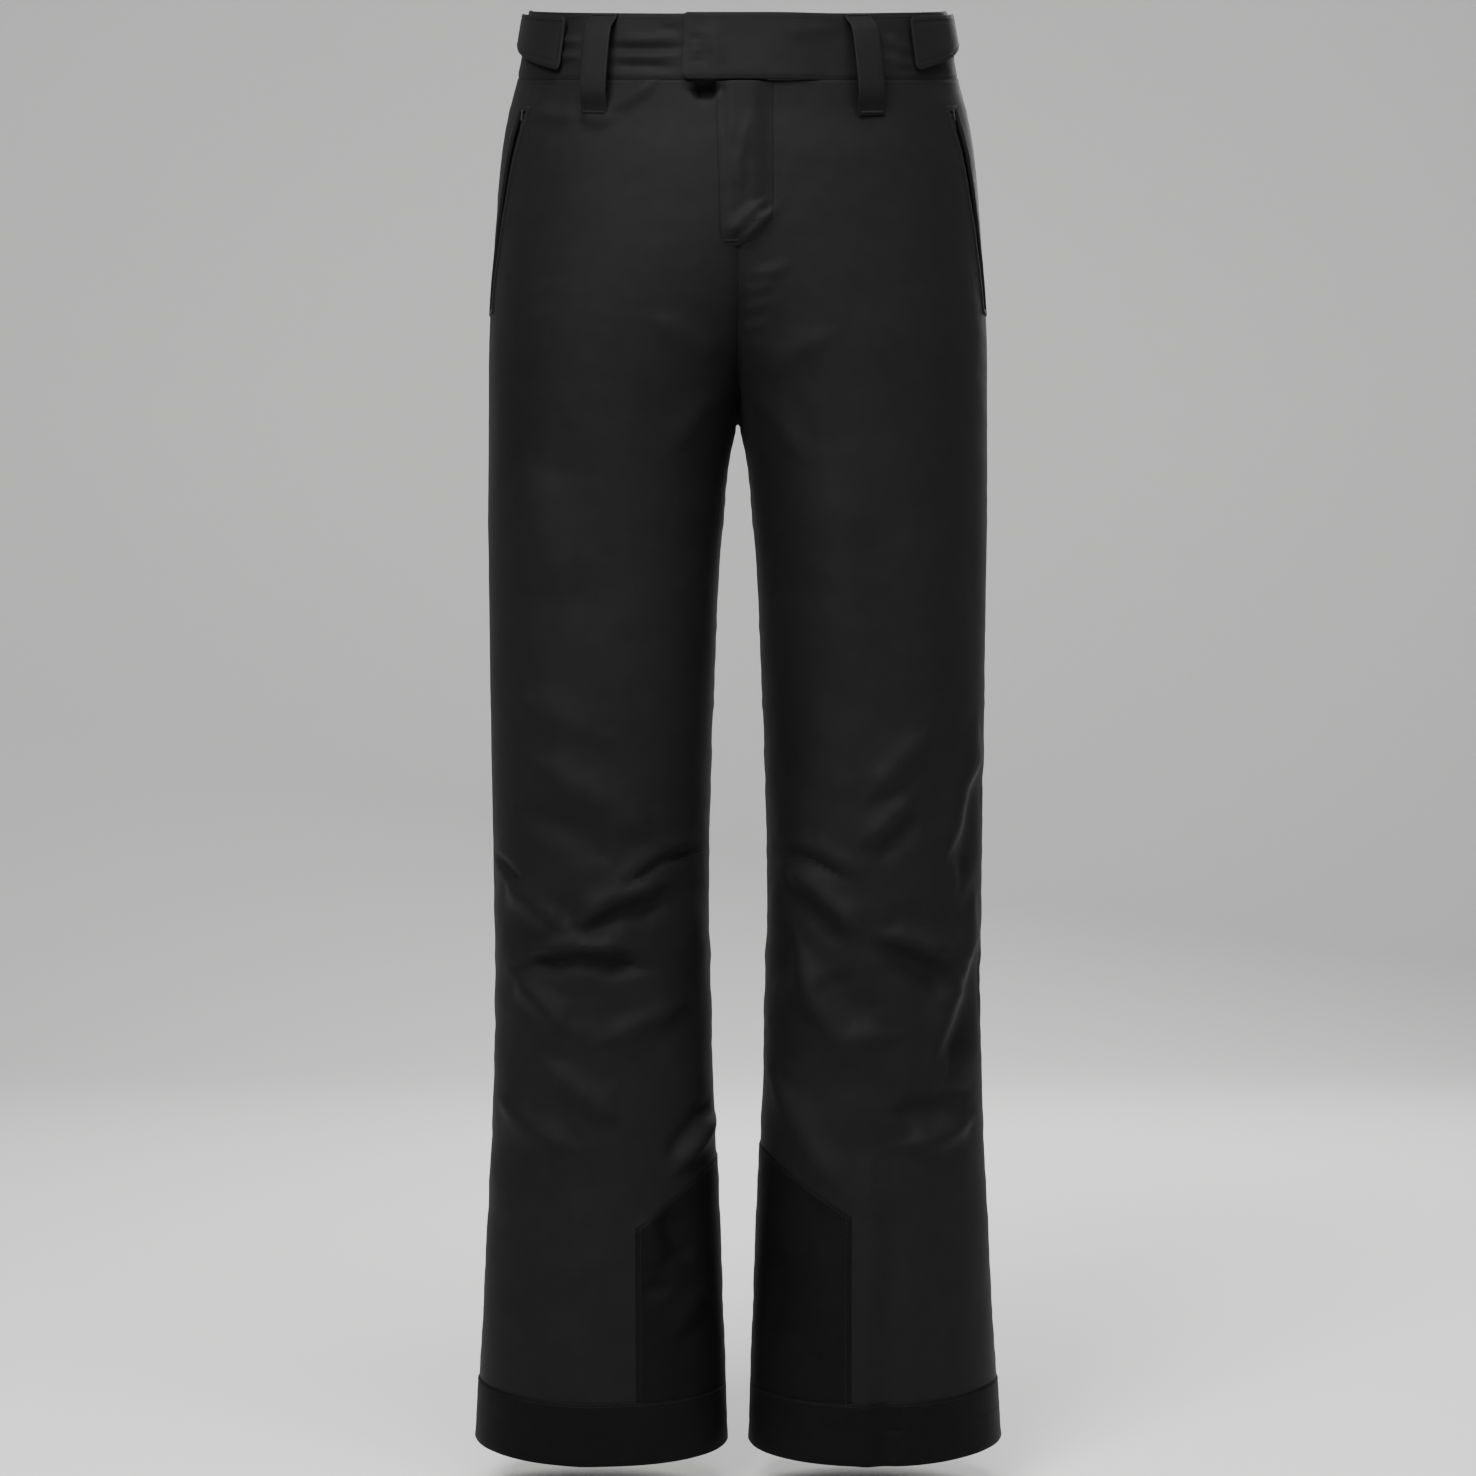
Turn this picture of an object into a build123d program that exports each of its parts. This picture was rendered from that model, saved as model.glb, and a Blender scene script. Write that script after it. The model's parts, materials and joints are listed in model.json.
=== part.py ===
from build123d import *
import math
import os

# Ski pants, as they hang when worn: a shell of fabric panels, a shaped waistband that fastens in front with
# two snaps, a zipped fly under an overlap, zipped hand pockets, hook-and-loop waist adjusters, belt loops,
# scuff guards and reinforced hems, and snow gaiters inside the hems. Millimetres.
#
# Frame: +Z up, +X to the wearer's left, -Y to the front. The origin is the middle of the waist opening, level
# with the waistband's top edge at the side seams. "Drop" is the distance below that edge at the side seam.

# ---- Driving dimensions -------------------------------------------------------------------------------------
OUTSEAM = 1040.0
WAISTBAND = 50.0          # height of the waistband
CROTCH = 300.0            # drop of the crotch point
KNEE = 615.0              # drop of the knee hinge
KNEE_ZONE = 85.0          # fabric that folds, above and below the hinge
HEM_BAND = 45.0           # height of the reinforced hem
FABRIC = 2.0              # shell panel with its lining
TRIM = 1.0                # a patch sewn over the shell
PATCH_GAP = 0.3           # air between a patch and the curved fabric under it
SQUARENESS = 2.2          # exponent of the oval sections: 2 is an ellipse
CENTRE_GAP = 0.4          # each panel stops this far from the centre seam

# The size chart: drop, outer and inner edge of the leg seen from the front, and depth to front and back.
# A negative inner edge means that the two legs' ovals still run into each other there.
SIZE_CHART = [
    (-5, 150.5, -150.5, 96, 96),
    (25, 155.5, -155.5, 97, 99),
    (55, 160.5, -160.5, 99, 103),
    (75, 166, -166, 100, 106),
    (110, 171.5, -140, 103, 113),
    (180, 176.8, -94, 105, 124),
    (240, 180, -36, 102, 122),
    (CROTCH, 180.3, 0, 96, 108),
    (375, 180.3, 11, 91, 95),
    (457, 179, 15.5, 86, 87),
    (KNEE, 176.8, 20.5, 81, 76),
    (700, 176, 19.6, 74, 76),
    (790, 177.5, 17.5, 71, 78),
    (900, 182.5, 13, 70, 79),
    (OUTSEAM + 5, 190, 8, 72, 80),
]
# The waist dips in front and rises behind; both tilts fade out over this drop.
FRONT_TILT, BACK_TILT, TILT_FADES_AT = 0.26, 0.10, 210.0

FLY_LEFT, FLY_RIGHT = 22.0, -15.0       # fold line and free edge of the fly overlap
FLY_CUT = -4.0                          # edge of the right front panel, beside the zip
FLY_BOTTOM = 183.0                      # drop of the end of the fly
FLY_ZIP_X, FLY_ZIP_INSET = 3.0, 3.6
TAB_END = -37.0                         # free end of the closure tab
OVERLAP_LIFT = 4.4                      # the overlap rides this far outside the layer under it
UNDERLAP_END = 18.0

POCKET_TOP, POCKET_BOTTOM = 78.0, 212.0
POCKET_TOP_ANGLE, POCKET_BOTTOM_ANGLE = 24.0, 13.0   # round the oval, forward of the outseam
POCKET_ZIP_INSET = 5.1
ZIP_WINDOW = 13.0                       # width of the slot that shows the zip

COIL_SIDE = 2.1                         # width of one side of the coil
COIL_THICK = 1.8
COIL_SPLIT = 0.8                        # slit between the two sides, where the slider's web runs
TAPE_THICK, TAPE_SIDE = 0.5, 9.0

LOOP_WIDTH, LOOP_THICK, LOOP_GAP = 20.0, 1.8, 0.5
LOOP_STAND, BACK_LOOP_STAND = 8.0, 10.5  # room for a belt at mid-height
LOOP_FRONT_X, LOOP_BACK_ANGLE, LOOP_LENGTH = 92.0, -52.0, 76.0

ADJUSTER_FREE, ADJUSTER_SEWN = 54.0, 112.0   # degrees round the waist from centre front
ADJUSTER_TOP, ADJUSTER_BOTTOM = 5.0, 31.0
ADJUSTER_LIFT, ADJUSTER_THICK = 4.8, 1.8

SNAP_X, SNAP_DROPS = -27.0, (15.0, 35.0)
STUD_RADIUS, SOCKET_BORE, SNAP_RADIUS = 2.2, 2.6, 5.5
STUD_STAND, STUD_HEIGHT = 0.2, 1.7
SOCKET_STAND, SOCKET_HEIGHT = 0.6, 1.35
HINGE_GAP = 0.4                         # between the overlap and the panel that it folds away from

SCUFF_EDGE = 103.0        # degrees round the leg from the outseam

GAITER_TOP, GAITER_BOTTOM = 850.0, OUTSEAM - 14
GAITER_INSET = 27.0


# ---- The body of the garment --------------------------------------------------------------------------------
def chart(drop):
    """The size chart's row at a drop, by a cubic that passes through every stated row."""
    rows = SIZE_CHART
    i = max(0, min(len(rows) - 2, sum(drop > row[0] for row in rows) - 1))
    before, low, high, after = rows[max(i - 1, 0)], rows[i], rows[i + 1], rows[min(i + 2, len(rows) - 1)]
    span = high[0] - low[0]
    t = (drop - low[0]) / span
    out = []
    for k in range(1, 5):
        slope_low = (high[k] - before[k]) / (high[0] - before[0]) * span
        slope_high = (after[k] - low[k]) / (after[0] - low[0]) * span
        out.append(
            (2 * t**3 - 3 * t**2 + 1) * low[k]
            + (t**3 - 2 * t**2 + t) * slope_low
            + (3 * t**2 - 2 * t**3) * high[k]
            + (t**3 - t**2) * slope_high
        )
    return out


def tilt(drop, y):
    """Rise per millimetre of y of the section plane at a drop."""
    left = max(0.0, 1 - max(drop, 0.0) / TILT_FADES_AT)
    return (FRONT_TILT if y < 0 else BACK_TILT) * left * left * (3 - 2 * left)


def surface(drop, angle, inset=0.0, slope=None):
    """A point on the left leg's oval: angle 0 is the outseam, 90 the front, 180 the inseam, -90 the back.

    A slope makes the section plane lean otherwise than the waist does, as a patch's slanted edge needs.
    """
    c, s = math.cos(math.radians(angle)), math.sin(math.radians(angle))
    across = math.copysign(abs(c) ** (2 / SQUARENESS), c)
    deep = -math.copysign(abs(s) ** (2 / SQUARENESS), s)
    rise = tilt(drop, deep)
    row = drop
    if slope is not None:
        row = drop + (rise - slope) * deep * chart(drop)[2 if deep < 0 else 3]
        rise = slope
    outer, inner, front, back = chart(row)
    x = (outer + inner) / 2 + ((outer - inner) / 2 - inset) * across
    y = ((front if deep < 0 else back) - inset) * deep
    return Vector(x, y, rise * y - drop)


def outward(drop, angle):
    """The level direction that points straight out of the surface."""
    along = surface(drop, angle + 1) - surface(drop, angle - 1)
    out = Vector(along.Y, -along.X, 0).normalized()
    return out if out.dot(surface(drop, angle) - surface(drop, angle, 10)) > 0 else -out


def centre_angle(drop, inset):
    """The angle at which the left leg's oval reaches the centre plane, or 180 where it doesn't."""
    outer, inner, _, _ = chart(drop)
    if inner + inset >= CENTRE_GAP:
        return 180.0
    ratio = ((outer + inner) / 2 - CENTRE_GAP) / ((outer - inner) / 2 - inset)
    return math.degrees(math.acos(-(ratio ** (SQUARENESS / 2)) if ratio > 0 else abs(ratio) ** (SQUARENESS / 2)))


def angle_at_x(drop, x, inset=0.0):
    """The front angle at which the left leg's oval has this x."""
    outer, inner, _, _ = chart(drop)
    ratio = (x - (outer + inner) / 2) / ((outer - inner) / 2 - inset)
    return math.degrees(math.acos(math.copysign(abs(ratio) ** (SQUARENESS / 2), ratio)))


def front_point(drop, x, inset=0.0):
    """A point on the front at any x, on either side of the centre."""
    point = surface(drop, angle_at_x(drop, abs(x), inset), inset)
    return Vector(x, point.Y, point.Z)


def section(outer_points, inner_points):
    """The closed outline of one strip of fabric, seen from above."""
    outer, inner = Spline(*outer_points), Spline(*inner_points)
    return Wire([outer.edge(), Line(outer @ 1, inner @ 1).edge(), inner.edge(), Line(inner @ 0, outer @ 0).edge()])


def fabric(drops, start, end, outer_inset, inner_inset, slopes=None, across=False, points=13):
    """A curved strip of fabric between two insets; start and end give its edges' angles at each drop.

    With across, the strip carries on over the centre plane to the same place on the other side.
    """
    wires = []
    for row, drop in enumerate(drops):
        sides = []
        for inset in (outer_inset, inner_inset):
            a, b = (edge(drop, inset) if callable(edge) else edge for edge in (start, end))
            slope = None if slopes is None else slopes[row]
            angles = [a + (b - a) * i / (points - 1) for i in range(points)]
            side = [surface(drop, angle, inset, slope) for angle in angles]
            if across:
                side = side[:-1] + [Vector(-p.X, p.Y, p.Z) for p in reversed(side[:-1])]
            sides.append(side)
        wires.append(section(*sides))
    return Solid.make_loft(wires, ruled=True)


def front_strip(drops, x_from, x_to, lift, thickness, points=9):
    """A strip across the centre front, lifted outside the shell: lift is a number or a function of x."""
    wires = []
    for drop in drops:
        xs = [x_from + (x_to - x_from) * i / (points - 1) for i in range(points)]
        raised = [lift(x) if callable(lift) else lift for x in xs]
        wires.append(
            section(
                [front_point(drop, x, -up) for x, up in zip(xs, raised)],
                [front_point(drop, x, thickness - up) for x, up in zip(xs, raised)],
            )
        )
    return Solid.make_loft(wires, ruled=True)


def other_side(shape):
    return mirror(shape, about=Plane.YZ)


def save(name, *shapes):
    solids = [solid for shape in shapes for solid in shape.solids()]
    export_step(solids[0] if len(solids) == 1 else Compound(solids), f"parts/{name}.step")


def save_pair(name, *shapes):
    """The wearer's left piece, and its mirror image on the right."""
    save(f"{name}_left", *shapes)
    save(f"{name}_right", *[other_side(shape) for shape in shapes])


# ---- Zips ---------------------------------------------------------------------------------------------------
def zip_plane(top, bottom, outward):
    """Local frame of a zip: Y runs up the chain, Z points outwards, and the origin is the chain's top."""
    up = (top - bottom).normalized()
    across = up.cross(outward).normalized()
    return Plane(origin=top, x_dir=across, z_dir=across.cross(up))


def bar(x0, x1, y0, y1, z0, z1):
    """A block between opposite corners."""
    return Pos((x0 + x1) / 2, (y0 + y1) / 2, (z0 + z1) / 2) * Box(x1 - x0, y1 - y0, z1 - z0)


def zip_tapes(length):
    inner = COIL_SPLIT / 2 + 0.3
    right = bar(inner, inner + TAPE_SIDE, -length - 12, 9, -COIL_THICK / 2 - TAPE_THICK, -COIL_THICK / 2)
    return right, mirror(right, about=Plane.YZ)


def zip_coil(length):
    """The two sides of the coil, meshed, with the slit that the slider's web runs in."""
    right = bar(COIL_SPLIT / 2, COIL_SPLIT / 2 + COIL_SIDE, -length - 6, 4, -COIL_THICK / 2, COIL_THICK / 2)
    return right, mirror(right, about=Plane.YZ)


def zip_bottom_stop(length):
    return bar(-3, 3, -length - 9.2, -length - 6.2, -COIL_THICK / 2, COIL_THICK / 2)


SLIDER_LENGTH, SLIDER_WIDTH, SLIDER_PLATE = 11.0, 8.4, 1.1
SLIDER_GAP = COIL_THICK / 2 + 0.25
LUG_HEIGHT, LUG_LENGTH, LUG_WIDTH = 3.4, 8.0, 1.5
PIVOT_OUT = SLIDER_GAP + SLIDER_PLATE + 1.3      # the pull's pivot, outside the chain's middle


def zip_slider():
    """Two plates joined by a web, with a lug on the outer plate that holds the pull."""
    shield = fillet(Rectangle(SLIDER_WIDTH, SLIDER_LENGTH).vertices(), 2.6)
    front = Pos(0, 0, SLIDER_GAP) * extrude(shield, SLIDER_PLATE)
    back = Pos(0, 0, -SLIDER_GAP - TAPE_THICK - SLIDER_PLATE) * extrude(shield, SLIDER_PLATE)
    web = bar(-0.25, 0.25, 0.5, SLIDER_LENGTH / 2 - 0.4, -SLIDER_GAP - TAPE_THICK, SLIDER_GAP)
    base = SLIDER_GAP + SLIDER_PLATE
    lug = bar(-LUG_WIDTH / 2, LUG_WIDTH / 2, -LUG_LENGTH / 2, LUG_LENGTH / 2, base, base + LUG_HEIGHT)
    lug -= bar(-LUG_WIDTH, LUG_WIDTH, -LUG_LENGTH / 2 + 1.2, LUG_LENGTH / 2 - 1.2, base, base + LUG_HEIGHT - 1.0)
    return front + back + web + lug


def zip_pull(length):
    """A frame whose crossbar runs through the slider's lug, and a tapered tab below it."""
    half, rail, thick = 3.6, 1.3, 1.3
    loop = bar(-half, half, -9.5, 0.7, -thick / 2, thick / 2)
    loop -= bar(-half + rail, half - rail, -7.6, -0.7, -thick, thick)
    tab = bar(-2.9, 2.9, -length, -9.5, -thick / 2, thick / 2)
    tab = fillet(tab.edges().filter_by(Axis.Z).group_by(Axis.Y)[0], 2.0)
    return Pos(0, 0, PIVOT_OUT) * (loop + tab)


def zip_set(name, plane, length, pull_length, mirrored):
    """Writes a zip's tapes, coil, stop, slider and pull, and their mirror images where there are two."""
    place = plane.location
    pieces = {
        "zip_tapes": zip_tapes(length) + (zip_bottom_stop(length),),
        "zip_coil": zip_coil(length),
        "zip_slider": (zip_slider(),),
        "zip_pull": (zip_pull(pull_length),),
    }
    for part, shapes in pieces.items():
        (save_pair if mirrored else save)(f"{name}_{part}", *[place * shape for shape in shapes])
    axis, pivot = plane.y_dir, plane.from_local_coords((0, 0, PIVOT_OUT))
    print(name, "slide", axis, "pull pivot", pivot, "pull axis", plane.x_dir, "outward", plane.z_dir)


# ---- Shell panels -------------------------------------------------------------------------------------------
THIGH_END, SHIN_START, BAND_START = KNEE - KNEE_ZONE, KNEE + KNEE_ZONE, OUTSEAM - HEM_BAND
UPPER_DROPS = [WAISTBAND, 72, 95, 118, 140, 160, 180, 200, 220, 240, 256, 270, 282, 292, CROTCH]
UPPER_DROPS += [312, 328, 350, 380, 415, 450, 490, THIGH_END]
KNEE_DROPS = [THIGH_END, 558, 586, KNEE, 644, 672, SHIN_START]
SHIN_DROPS = [SHIN_START, 745, 790, 830, 870, 910, 950, BAND_START]
BAND_DROPS = [BAND_START, OUTSEAM - HEM_BAND / 2, OUTSEAM]


def pocket_plane():
    """The hand pocket's zip, a straight line just forward of the outseam."""
    middle_angle = (POCKET_TOP_ANGLE + POCKET_BOTTOM_ANGLE) / 2
    top = surface(POCKET_TOP, POCKET_TOP_ANGLE, POCKET_ZIP_INSET)
    bottom = surface(POCKET_BOTTOM, POCKET_BOTTOM_ANGLE, POCKET_ZIP_INSET)
    middle = (POCKET_TOP + POCKET_BOTTOM) / 2
    outward = surface(middle, middle_angle) - surface(middle, middle_angle, 10)
    return zip_plane(top, bottom, outward), (top - bottom).length


def shell_panels():
    pocket, pocket_length = pocket_plane()
    slot = pocket.location * bar(-ZIP_WINDOW / 2, ZIP_WINDOW / 2, -pocket_length - 13, 10, -14, 30)
    fly = bar(FLY_CUT, FLY_LEFT, -200, 0, -FLY_BOTTOM - 3, 0)
    front = fabric(UPPER_DROPS, centre_angle, 0, 0, FABRIC)
    save("front_thigh_panel_left", front - slot - fly)
    save("front_thigh_panel_right", other_side(front - slot) - fly)
    save_pair("back_thigh_panel", fabric(UPPER_DROPS, lambda d, i: -centre_angle(d, i), 0, 0, FABRIC))
    save_pair("front_knee_panel", fabric(KNEE_DROPS, 180, 0, 0, FABRIC))
    save_pair("back_knee_panel", fabric(KNEE_DROPS, -180, 0, 0, FABRIC))
    save_pair("front_shin_panel", fabric(SHIN_DROPS, 180, 0, 0, FABRIC))
    save_pair("back_calf_panel", fabric(SHIN_DROPS, -180, 0, 0, FABRIC))


def hems():
    band_front, band_back = (fabric(BAND_DROPS, angle, 0, 0, FABRIC) for angle in (180, -180))
    save_pair("hem_band", band_front + band_back)
    # The scuff guard covers the inside of the calf; its top edge rises towards the inseam.
    patch_drops = [800, 830, 870, 910, 950, BAND_START - 0.5]
    front, back = (
        fabric(patch_drops, math.copysign(180, edge), edge, -PATCH_GAP - TRIM, -PATCH_GAP)
        for edge in (SCUFF_EDGE, -SCUFF_EDGE)
    )
    patch = front + back
    slope = Plane(origin=(16, 0, -827), z_dir=(0.65, 0, 0.76))
    save_pair("scuff_guard", split(patch, bisect_by=slope, keep=Keep.BOTTOM))


def oval_tube(drops, insets, wall):
    """A closed tube inside the left leg, at a stated inset from the leg's surface at each drop."""
    shells = []
    for extra in (0, wall):
        wires = []
        for drop, inset in zip(drops, insets):
            points = [surface(drop, angle, inset + extra) for angle in range(-180, 180, 24)]
            wires.append(Wire([Spline(*points, periodic=True).edge()]))
        shells.append(Solid.make_loft(wires))
    return shells[0] - shells[1]


def gaiters():
    drops = [GAITER_TOP, 900, 960, GAITER_BOTTOM]
    insets = [FABRIC + 0.3, 12, 22, GAITER_INSET]
    save_pair("snow_gaiter", oval_tube(drops, insets, 1.2))
    band = [GAITER_BOTTOM - 24, GAITER_BOTTOM]
    save_pair("gaiter_elastic", oval_tube(band, [GAITER_INSET + 2.2, GAITER_INSET + 1.8], 1.6))
    # The hook that clips over a boot lace, sewn to the gaiter's front edge.
    front = surface(GAITER_BOTTOM, 90, GAITER_INSET)
    wire_radius, reach = 0.9, 9.0
    hook_path = FilletPolyline(
        front + Vector(-4, -2.2, 6), front + Vector(-4, -2.2, -reach), front + Vector(-4, -7.5, -reach),
        front + Vector(-4, -7.5, -1), radius=2.2,
    )
    hook = sweep(Plane(origin=hook_path @ 0, z_dir=hook_path % 0) * Circle(wire_radius), path=hook_path)
    clip = bar(front.X - 9, front.X + 9, front.Y - 3.2, front.Y - 1.2, front.Z + 6, front.Z + 14)
    save_pair("gaiter_hook", Pos(4, 0, 0) * hook + clip)


def pocket_bags():
    drops = [POCKET_TOP - 8, 120, 180, 240, POCKET_BOTTOM + 55]
    save_pair("pocket_bag", fabric(drops, 62, 8, 12, 13.2))


# ---- Waist --------------------------------------------------------------------------------------------------
BAND_ROWS = [0, WAISTBAND / 3, WAISTBAND * 2 / 3, WAISTBAND]
BACK_PANEL_ANGLE = -28.0        # where the elasticated back begins, behind the side seam
FRONT_JOIN_X = 80.0             # the fronts' overlapping stretch begins here
LINING_END_ANGLE = 60.0


def overlap_lift(x):
    """The left side's waistband leaves the shell's surface to pass over the right side's."""
    t = max(0.0, min(1.0, (72 - x) / 50))
    return OVERLAP_LIFT * t * t * (3 - 2 * t)


def centre_back_angle(drop, inset):
    return -centre_angle(drop, inset)


def waistband():
    """Two fronts, which reach round to the side backs and overlap in front, and an elasticated back."""
    front = fabric(BAND_ROWS, lambda drop, inset: angle_at_x(drop, FRONT_JOIN_X, inset), 0, 0, FABRIC)
    side_back = fabric(BAND_ROWS, 0, BACK_PANEL_ANGLE, 0, FABRIC)
    overlap = front_strip(BAND_ROWS, FLY_LEFT, FRONT_JOIN_X, overlap_lift, FABRIC)
    underlap = front_strip(BAND_ROWS, -FRONT_JOIN_X, UNDERLAP_END, 0, FABRIC)
    save("waistband_left", overlap + front + side_back)
    save("waistband_right", underlap + other_side(front) + other_side(side_back))
    save("waistband_back", fabric(BAND_ROWS, BACK_PANEL_ANGLE, centre_back_angle, 0, FABRIC, across=True))
    elastic_rows, elastic_start = [8, WAISTBAND / 2, WAISTBAND - 8], BACK_PANEL_ANGLE - 3
    elastic = fabric(elastic_rows, elastic_start, centre_back_angle, FABRIC + 0.2, FABRIC + 1.8, across=True)
    save("waistband_elastic", elastic)
    lining_rows, lining_inset = [2, 20, 36, WAISTBAND + 2], FABRIC + 2.1
    lining = fabric(lining_rows, 0, LINING_END_ANGLE, lining_inset, lining_inset + 1.2)
    behind = fabric(lining_rows, 0, centre_back_angle, lining_inset, lining_inset + 1.2, across=True)
    save("waistband_lining", lining + behind + other_side(lining))


def closure():
    save("closure_tab", front_strip(BAND_ROWS, TAB_END, FLY_LEFT - HINGE_GAP, OVERLAP_LIFT, FABRIC))
    sockets, studs = [], []
    for drop in SNAP_DROPS:
        seat = front_point(drop, SNAP_X)
        out = outward(drop, angle_at_x(drop, -SNAP_X))
        plane = Plane(origin=seat, x_dir=(0, 0, 1), z_dir=Vector(-out.X, out.Y, 0))
        cup = extrude(Circle(SNAP_RADIUS) - Circle(SOCKET_BORE), SOCKET_HEIGHT)
        sockets.append(plane.location * Pos(0, 0, SOCKET_STAND) * cup)
        studs.append(plane.location * Pos(0, 0, STUD_STAND) * extrude(Circle(STUD_RADIUS), STUD_HEIGHT))
    save("snap_sockets", *sockets)
    save("snap_studs", *studs)


def fly():
    rows = [WAISTBAND + 1.5, 72, 95, 118, 140, 160, FLY_BOTTOM]

    def flap_lift(x):
        """Flush at the fold, high over the zip, and close to the shell at the free edge."""
        rise = max(0.0, min(1.0, (FLY_LEFT - x) / 10))
        fall = max(0.0, min(1.0, (FLY_CUT - x) / 9))
        return 4.6 * rise * rise * (3 - 2 * rise) - 2.2 * fall * fall * (3 - 2 * fall)

    save("fly_flap", front_strip(rows, FLY_RIGHT, FLY_LEFT - HINGE_GAP, flap_lift, 1.6, points=15))
    top = front_point(WAISTBAND + 10, FLY_ZIP_X, FLY_ZIP_INSET)
    bottom = front_point(FLY_BOTTOM - 11, FLY_ZIP_X, FLY_ZIP_INSET)
    plane = zip_plane(top, bottom, Vector(0, -1, 0))
    zip_set("fly", plane, (top - bottom).length, 17.0, mirrored=False)
    save("fly_facing", front_strip(rows, FLY_ZIP_X + 6, 36, -FABRIC - 0.3, 1.2))
    save("fly_shield", front_strip(rows, -18, 34, -10, 1.4))
    hinge = [front_point(0, FLY_LEFT, -6), front_point(FLY_BOTTOM, FLY_LEFT, -2.5)]
    print("fly hinge", hinge[0], (hinge[0] - hinge[1]).normalized(), "zip length", (top - bottom).length)


def adjusters():
    """Tabs sewn in behind the side seam; a tab's free end is taller than its sewn end."""
    free, sewn = 90 - ADJUSTER_FREE, 90 - ADJUSTER_SEWN
    rows = [ADJUSTER_TOP, ADJUSTER_BOTTOM]

    def strip(start, end, out, thickness, slopes, drops):
        return fabric(drops, start, end, -out, thickness - out, slopes=slopes)

    tab = strip(free, 0, ADJUSTER_LIFT, ADJUSTER_THICK, [0.24, 0.50], rows)
    tab += strip(0, sewn, ADJUSTER_LIFT, ADJUSTER_THICK, [0.12, 0.12], rows)
    save_pair("adjuster_tab", tab)
    hook_out = ADJUSTER_LIFT - ADJUSTER_THICK - 0.1
    hook = strip(free - 2, free - 22, hook_out, 0.9, [0.28, 0.42], [ADJUSTER_TOP + 4, ADJUSTER_BOTTOM - 3])
    save_pair("adjuster_hook_patch", hook)
    loop = strip(free, 6, 1.2, 1.0, [0.28, 0.28], [ADJUSTER_TOP + 4, ADJUSTER_BOTTOM + 3])
    save_pair("adjuster_loop_patch", loop)
    print("adjuster pivot", surface(ADJUSTER_BOTTOM / 2, sewn, -ADJUSTER_LIFT))


def belt_loop(angle, stand):
    """A strap bowed out from the waistband, sewn at its top and below the waistband's seam."""
    seat, low, out = surface(0, angle), surface(LOOP_LENGTH, angle), outward(LOOP_LENGTH / 2, angle)
    side = Plane(origin=seat, x_dir=out, z_dir=out.cross(Vector(0, 0, 1)))
    lean, drop = (low - seat).dot(out), seat.Z - low.Z
    inner = [(LOOP_GAP, -3), (stand * 0.85 + lean * 0.15, -13), (stand + lean * 0.5, -drop * 0.5)]
    inner += [(stand * 0.85 + lean * 0.85, -drop + 13), (lean + LOOP_GAP, -drop + 2)]
    outer = [(x + LOOP_THICK, z) for x, z in inner]
    face = make_face([Spline(*inner), Line(inner[-1], outer[-1]), Spline(*outer), Line(outer[0], inner[0])])
    return side.location * extrude(face, LOOP_WIDTH / 2, both=True)


def belt_loops():
    front_angle = angle_at_x(0, LOOP_FRONT_X)
    save_pair("belt_loop_front", belt_loop(front_angle, LOOP_STAND))
    save_pair("belt_loop_back", belt_loop(LOOP_BACK_ANGLE, BACK_LOOP_STAND))
    save("belt_loop_centre_back", belt_loop(-90, LOOP_STAND))


os.makedirs("parts", exist_ok=True)
shell_panels()
hems()
gaiters()
pocket_bags()
waistband()
closure()
fly()
adjusters()
belt_loops()
pocket, pocket_length = pocket_plane()
zip_set("pocket", pocket, pocket_length, 20.0, mirrored=True)
print("pocket zip length", pocket_length)
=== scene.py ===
# %% [markdown]
# # Ski pants, piece by piece
# These are insulated ski pants as they hang when worn: a shell of two front and two back panels, a shaped
# waistband with a snapped overlap, a zipped fly, zipped hand pockets, waist adjusters, belt loops, scuff
# guards, reinforced hems and snow gaiters inside the hems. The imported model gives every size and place.
# Each cell makes one kind of piece, and says first what it is on the real garment.

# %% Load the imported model
import functools
import json
import math

import bpy
import numpy as np
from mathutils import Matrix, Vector, noise

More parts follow.
